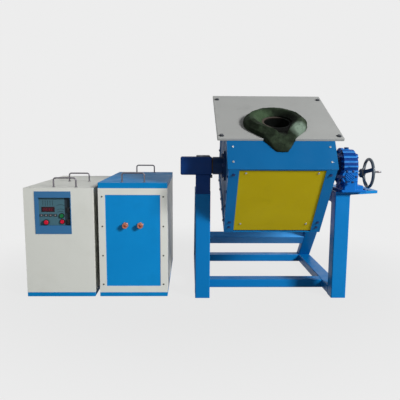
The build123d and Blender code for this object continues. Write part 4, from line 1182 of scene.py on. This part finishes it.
def make_bezels():
    bores = ((start_place, 0.0104), (stop_place, 0.0104), (emergency_place, 0.0094))
    rings = [ring(on_panel(*place), (0, -1, 0), bore + 0.0035, bore, 0.003)
             for place, bore in bores]
    seat_piece(joined("bezels", rings), "button_bezels", "frame", "bright_steel",
               ["switch_bezels"], 35, catch_black)


def make_catches():
    """Two grooved catches on the strip of painted shadow at the right of the recess."""
    catches = []
    for z in (453, 392):
        body = panel_block(214, 230, z - 13, z + 13, 0, 0.008, 0.0018, 3)
        grip = panel_block(217, 227, z - 4, z + 4, 0.007, 0.011, 0.0014, 3)
        catches += [body, grip]
    seat_piece(joined("catches", catches), "panel_catches", "frame", "dark_window", (), 40,
               catch_black)


# Water and power unions of the transformer cabinet

union_height = 0.376
union_reach = 0.026
cabinet_front = -0.1885
ridge_pitch = 0.0022

# Place across of each union, and the turn of its nut
union_nuts = ((-0.746, 0.3), (-0.670, 0.9))


def union_ring(x, y, *shape):
    """Tube or ring of a union, with its front end at y."""
    return ring((x, y, union_height), (0, 1, 0), *shape)


def make_unions():
    """Tubes with a lip, four ridges and a nut on the cabinet's front."""
    front = cabinet_front - union_reach
    pieces = []
    for x, nut_turn in union_nuts:
        pipe = union_ring(x, front, 0.011, 0.007, 0.196)
        lip = union_ring(x, front - 0.0004, 0.014, 0.0108, 0.0064)
        nut_place = (
            Matrix.Translation((x, cabinet_front, union_height))
            @ Matrix.Rotation(math.radians(90), 4, "X")
            @ Matrix.Rotation(nut_turn, 4, "Z")
        )
        nut = repeated(hex_head(0.028, 0.010), [nut_place])[0]
        ridges = [union_ring(x, front + 0.0075 + step * ridge_pitch, 0.0121, 0.0105, 0.0014, 36)
                  for step in range(4)]
        pieces += [*ridges, pipe, lip, nut]
    seat_piece(joined("unions", pieces), "output_fittings", "frame", "copper_tube",
               ["output_unions"])


# Weld beads of the tilting frame

bead_radius = 0.0026
ripple_length = 0.0022
post_middle = 0.3525
post_half_width = 0.0375
post_inner = post_middle - post_half_width
post_front = -0.2205
post_rear = post_front + 2 * post_half_width
post_top = 0.538
cross_bar_places = (0.0, 0.587)
cross_bar_middle = 0.024
beam_half_width = 0.036

# Lower and upper edge of the base beam and of the top beam behind a post
beam_edges = ((0.004, 0.0435), (0.4945, 0.5365))


def bead(points, closed=False):
    """Rippled bead of weld metal along a line."""
    curve = bpy.data.curves.new("bead", "CURVE")
    curve.dimensions = "3D"
    curve.bevel_depth = bead_radius
    curve.bevel_resolution = 2
    curve.use_fill_caps = True
    run = curve.splines.new("POLY")
    dense = []
    count = len(points)
    for index in range(count if closed else count - 1):
        start = Vector(points[index])
        end = Vector(points[(index + 1) % count])
        steps = max(2, round((end - start).length / ripple_length))
        dense += [start.lerp(end, step / steps) for step in range(steps)]
    if not closed:
        dense.append(Vector(points[-1]))
    run.points.add(len(dense) - 1)
    for index, point in enumerate(dense):
        run.points[index].co = (*point, 1)
        run.points[index].radius = 1.0 + 0.22 * math.sin(index * 1.9)
    run.use_cyclic_u = closed
    line = bpy.data.objects.new("bead", curve)
    scene.collection.objects.link(line)
    select_only(line)
    bpy.ops.object.convert(target="MESH")
    return bpy.context.object


def around_cross_bar(x, y, z, width, height):
    """Corners of a cross bar's end, which meets an upright face at x."""
    return [(x, y - width / 2, z - height / 2), (x, y + width / 2, z - height / 2),
            (x, y + width / 2, z + height / 2), (x, y - width / 2, z + height / 2)]


def around_beam(x, low, high):
    """Corners of a beam's end, which meets the rear of the post at x."""
    left = x - beam_half_width
    right = x + beam_half_width
    return [(left, post_rear, low), (right, post_rear, low),
            (right, post_rear, high), (left, post_rear, high)]


def make_welds():
    """Beads round the ends of the bars and beams, and along the top edge of each post's front."""
    beads = []
    for side in (-1, 1):
        for y in cross_bar_places:
            corners = around_cross_bar(side * post_inner, y, cross_bar_middle, 0.073, 0.040)
            beads.append(bead(corners, True))
        x = side * post_middle
        for low, high in beam_edges:
            beads.append(bead(around_beam(x, low, high), True))
        beads.append(bead([(x - post_half_width, post_front, post_top),
                           (x + post_half_width, post_front, post_top)]))
    seat_piece(joined("welds", beads), "frame_welds", "frame", "blue_paint", (), 80)


# Finishes of the CAD nodes, each by its slot unless it is named here

# Those named here carry painted shade (trunnions, front band, bearing pedestal) and painted light
# (upper cross bar)
paint_of_node = {
    "left_trunnion": trunnion_shaded_blue,
    "right_trunnion": trunnion_shaded_blue,
    "front_band": band_shaded_blue,
    "bearing_pedestal": bearing_shaded_blue,
    "upper_cross_bar": bar_lit_blue,
}


def paint_nodes():
    slot_of = {part["node"]: part["material_slot"] for part in frame["record"]["subparts"]}
    for name, node in nodes.items():
        material = paint_of_node.get(name) or finishes[slot_of[name]]
        if node.data.materials:
            node.data.materials[0] = material
        else:
            node.data.materials.append(material)


scene.view_settings.view_transform = "Standard"
add_camera()
add_studio()
paint_nodes()
make_collar()
make_castings()
make_cover_ribs()
make_handwheel()
make_fasteners()
make_handles()
make_sheet_metal()
make_display()
make_panel_marks()
make_keys()
make_buttons()
make_emergency_stop()
make_bezels()
make_catches()
make_unions()
make_welds()
